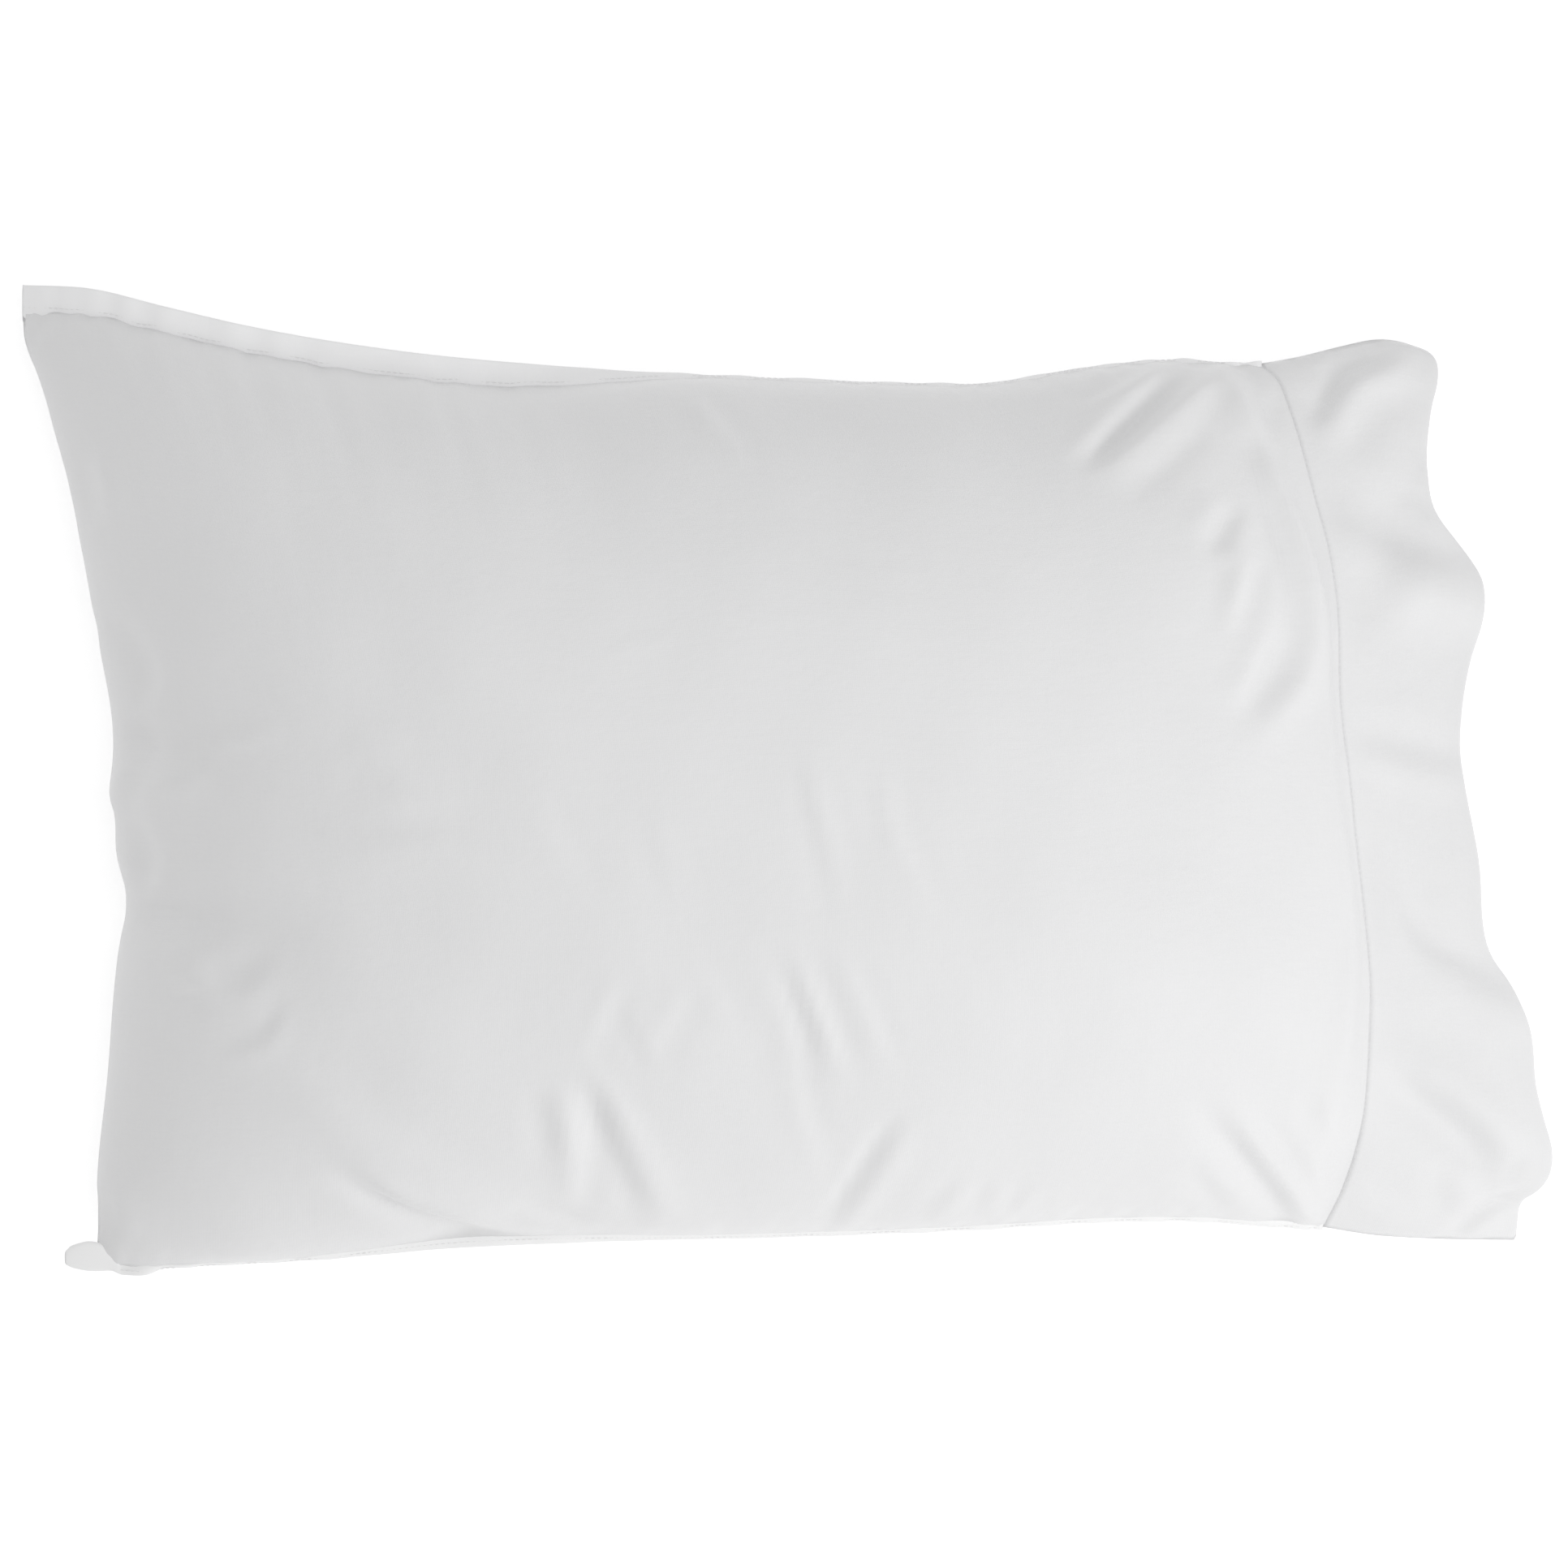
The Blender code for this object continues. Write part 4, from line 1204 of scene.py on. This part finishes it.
TAG_OUT = 0.0050
TAG_START = 0.001
TAG_SIZE = (0.035, 0.040)
TAG_CELLS = (20, 15)


def case_height(grid, along, across):
    """The settled case's height over a place of the body."""
    row = REFINE * steps_at(along, BODY_STEPS)
    column = REFINE * steps_at(across, ACROSS_STEPS)
    return grid_point(grid[: HEM_ROW + 1], row, column)[..., 2]


def insert_grid(side, depth, case_sides, cells):
    """One face of the pillow, `depth` in from the outside of its ticking."""
    along, across = np.meshgrid(
        spaced(cells[0], INSERT_EDGE_SHARE), spaced(cells[1], INSERT_EDGE_SHARE), indexing="ij"
    )
    inset = INSERT_GAP + depth
    start, end = INSERT_START + depth / BODY_LENGTH, INSERT_END - depth / BODY_LENGTH
    margin = (INSERT_MARGIN + depth) / BODY_WIDTH
    place_along = start + (end - start) * along
    place_across = margin + (1 - 2 * margin) * across
    loft = loft_along(along, 0.0) * loft_across(across)
    fullness = CROWN - inset if side > 0 else BELLY - inset
    seam = seam_surface(place_along, place_across)
    plan = body_plan(place_along, place_across)
    height = seam + side * fullness * loft
    x, y = along * BODY_LENGTH, across * BODY_WIDTH
    pattern = np.stack([x, y, 0 * x], axis=-1)
    edge = np.minimum(np.minimum(x, BODY_LENGTH - x), np.minimum(y, BODY_WIDTH - y))
    drawn = 1 + seam_puckers(pattern, *TICKING_PUCKERS) + undulation(plan, *TICKING_WAVES)
    height -= side * PUCKER_DEPTH * np.maximum(drawn, 0) * smooth_step(0, 0.010, edge)
    case_side = case_sides[0] if side > 0 else case_sides[1]
    most = case_height(case_side, place_along, place_across) - side * (LEAST_CASE_GAP + depth)
    if side > 0:
        height = np.minimum(height, np.maximum(most, seam))
    else:
        height = np.maximum(height, np.minimum(most, seam))
        height = np.maximum(height, inset)
    return np.concatenate([plan, height[..., None]], axis=-1), pattern


def border(grid):
    """The grid's border as one closed run of points."""
    return np.concatenate([grid[:-1, 0], grid[-1, :-1], grid[:0:-1, -1], grid[0, :0:-1]])


def piping(case_sides, look):
    """The corded edge, sewn in between the two faces."""
    grid, _ = insert_grid(1, -PIPING_OUT, case_sides, TICKING_CELLS)
    path = border(grid)
    path = np.concatenate([path, path[:1]])
    stations = lengths_along(path)
    count = int(stations[-1] / PIPING_SPACING)
    places = np.linspace(0, stations[-1], count, endpoint=False)
    path = sampled(path, stations, places)
    for _ in range(PIPING_SMOOTHINGS):
        path = (np.roll(path, 1, axis=0) + 2 * path + np.roll(path, -1, axis=0)) / 4
    ahead = np.roll(path, -1, axis=0) - np.roll(path, 1, axis=0)
    ahead /= np.linalg.norm(ahead, axis=1, keepdims=True)
    aside = np.cross(np.array([0, 0, 1.0]), ahead)
    aside /= np.linalg.norm(aside, axis=1, keepdims=True)
    upwards = np.cross(ahead, aside)
    turns = 2 * np.pi * np.arange(PIPING_SIDES) / PIPING_SIDES
    rows, cloth_rows = [], []
    for index, centre in enumerate(path):
        uneven = 1 + 0.05 * math.sin(places[index] / 0.007) * math.sin(places[index] / 0.023)
        reach = PIPING_RADIUS * min(uneven, 1.0)
        section = np.cos(turns)[:, None] * aside[index] + np.sin(turns)[:, None] * upwards[index]
        rows.append(centre + reach * section)
        cloth_rows.append([(places[index], PIPING_RADIUS * t, 0) for t in turns])
    cord = object_from(sealed(lofted(rows, cloth_rows, closed_along=True)), "edge_cord", look)
    return placed(cord, "pillow_insert", "edge_piping")


def fibre_fill(case_sides):
    """The stuffing: one lumpy body inside the ticking."""
    depth = TICKING_THICKNESS + FILL_GAP
    over, place = insert_grid(1, depth, case_sides, FILL_CELLS)
    under, _ = insert_grid(-1, depth, case_sides, FILL_CELLS)
    edge = smooth_step(0, FILL_EDGE, np.minimum(place[..., 1], BODY_WIDTH - place[..., 1]))
    edge *= smooth_step(0, FILL_EDGE, np.minimum(place[..., 0], BODY_LENGTH - place[..., 0]))
    for grid, side, seed in ((over, 1, 41), (under, -1, 42)):
        lumps = np.abs(undulation(place[..., :2], *FILL_LUMPS, seed))
        grid[..., 2] -= side * lumps * edge
    loops = [[*above, *below[-2:0:-1]] for above, below in zip(over, under)]
    cloth = [[*row, *row[-2:0:-1]] for row in place]
    filling = object_from(sealed(lofted(loops, cloth)), "fibre_filling", fibre_look())
    placed(filling, "pillow_insert", "fill_core")
    return filling


def ticking_sheet(side, name, node, case_sides, look):
    """One panel of the pillow's own cover, and the grid of its outer face."""
    outer, place = insert_grid(side, 0.0, case_sides, TICKING_CELLS)
    inner, _ = insert_grid(side, TICKING_THICKNESS, case_sides, TICKING_CELLS)
    apart = np.array([0, 0, side * TICKING_LIFT])
    made = object_from(sheet_between(outer + apart, inner + apart, place), name, look)
    return placed(made, "pillow_insert", node), outer


def closing_stitches(face, look):
    """The line that closes the ticking, along the middle of the end at the case's mouth."""
    along_cells, across_cells = TICKING_CELLS
    row = np.full(CLOSING_STATIONS, steps_at(CLOSING_PLACE, along_cells, INSERT_EDGE_SHARE))
    column = steps_at(np.linspace(*CLOSING_RUN, CLOSING_STATIONS), across_cells, INSERT_EDGE_SHARE)
    normals = grid_point(grid_normals(face, 1), row, column)
    path = grid_point(face, row, column) + CLOSING_LIFT * normals
    line = stitching("closing_stitches", path, normals, CLOSING_STITCH, look)
    return placed(line, "pillow_insert", "closing_stitching")


def fibre_label(case_sides, look):
    """The pillow's label, sewn into the end at the case's mouth."""
    along_cells, across_cells = TICKING_CELLS
    outer, _ = insert_grid(1, -TAG_OUT, case_sides, TICKING_CELLS)
    column = steps_at(TAG_PLACE, across_cells, INSERT_EDGE_SHARE)
    corner = grid_point(outer, np.array(float(along_cells)), column)
    length, width = TAG_SIZE
    x = corner[0] + TAG_START + np.linspace(0, length, TAG_CELLS[0])[:, None]
    y = corner[1] + np.linspace(-width / 2, width / 2, TAG_CELLS[1])[None, :]
    away = (x - x[0]) / length
    z = corner[2] + 0.0009 * np.sin(np.pi * away) + 0.0004 * np.sin(y / 0.006)  # a slight curl
    return label("fibre_label", "insert_label", "pillow_insert", grid_from(x, y, z), look)


def build_insert(case_sides, satin):
    """The pillow inside the case."""
    ticking = ticking_cotton()
    fibre_fill(case_sides)
    over, face = ticking_sheet(1, "ticking_top_sheet", "ticking_top", case_sides, ticking)
    under, _ = ticking_sheet(-1, "ticking_bottom_sheet", "ticking_bottom", case_sides, ticking)
    cord = piping(case_sides, piping_cotton())
    closing = closing_stitches(face, bpy.data.materials["light_thread"])
    tag = fibre_label(case_sides, satin)


# ---------------------------------------------------------------- camera, light and floor


def camera():
    """Straight above the pillow, as the photograph was taken."""
    data = bpy.data.cameras.new("camera")
    made = bpy.data.objects.new("camera", data)
    bpy.context.scene.collection.objects.link(made)
    height = 4.5
    view_width, plane = 0.7825, 0.030  # how wide the picture is, at this height over the table
    made.location = (-0.001, -0.0024, height)
    data.sensor_width = 36
    data.lens = data.sensor_width * (height - plane) / view_width
    bpy.context.scene.camera = made


def area_light(name, place, aim, size, power):
    """A square light that shines from one place at another, out of the camera's sight."""
    data = bpy.data.lights.new(name, "AREA")
    data.shape = "SQUARE"
    data.size = size
    data.energy = power
    made = bpy.data.objects.new(name, data)
    bpy.context.scene.collection.objects.link(made)
    made.location = place
    made.rotation_mode = "QUATERNION"
    made.rotation_quaternion = (Vector(aim) - Vector(place)).to_track_quat("-Z", "Y")
    made.visible_camera = False


def studio():
    """A bright white room, a key light at the near right, a wide one overhead, and a white floor."""
    scene = bpy.context.scene
    scene.view_settings.view_transform = "Standard"
    scene.view_settings.look = "None"
    world = bpy.data.worlds.new("studio")
    scene.world = world
    world.use_nodes = True
    background = world.node_tree.nodes["Background"]
    background.inputs["Color"].default_value = (1.0, 1.0, 1.0, 1.0)
    background.inputs["Strength"].default_value = 0.575
    area_light("key", (1.70, -1.20, 1.73), (0.0, 0.0, 0.05), 1.0, 22.5)
    area_light("overhead", (-0.1, 0.35, 2.5), (0.0, 0.0, 0.05), 2.0, 12.0)
    bpy.ops.mesh.primitive_plane_add(size=12, location=(0, 0, -0.0002))
    floor = bpy.context.object
    floor.name = "floor"
    look = Look("floor", 0.9)
    place = look.node("ShaderNodeTexCoord").outputs["Object"]
    look.coloured(look.noise(place, 3.0), (0.94, 0.94, 0.94), (0.96, 0.96, 0.96))
    look.shader.inputs["Emission Color"].default_value = (1.0, 1.0, 1.0, 1.0)
    look.shader.inputs["Emission Strength"].default_value = 0.30
    floor.data.materials.append(look.material)


satin = satin_label()
case_sides = build_case(satin)
build_insert(case_sides, satin)
camera()
studio()
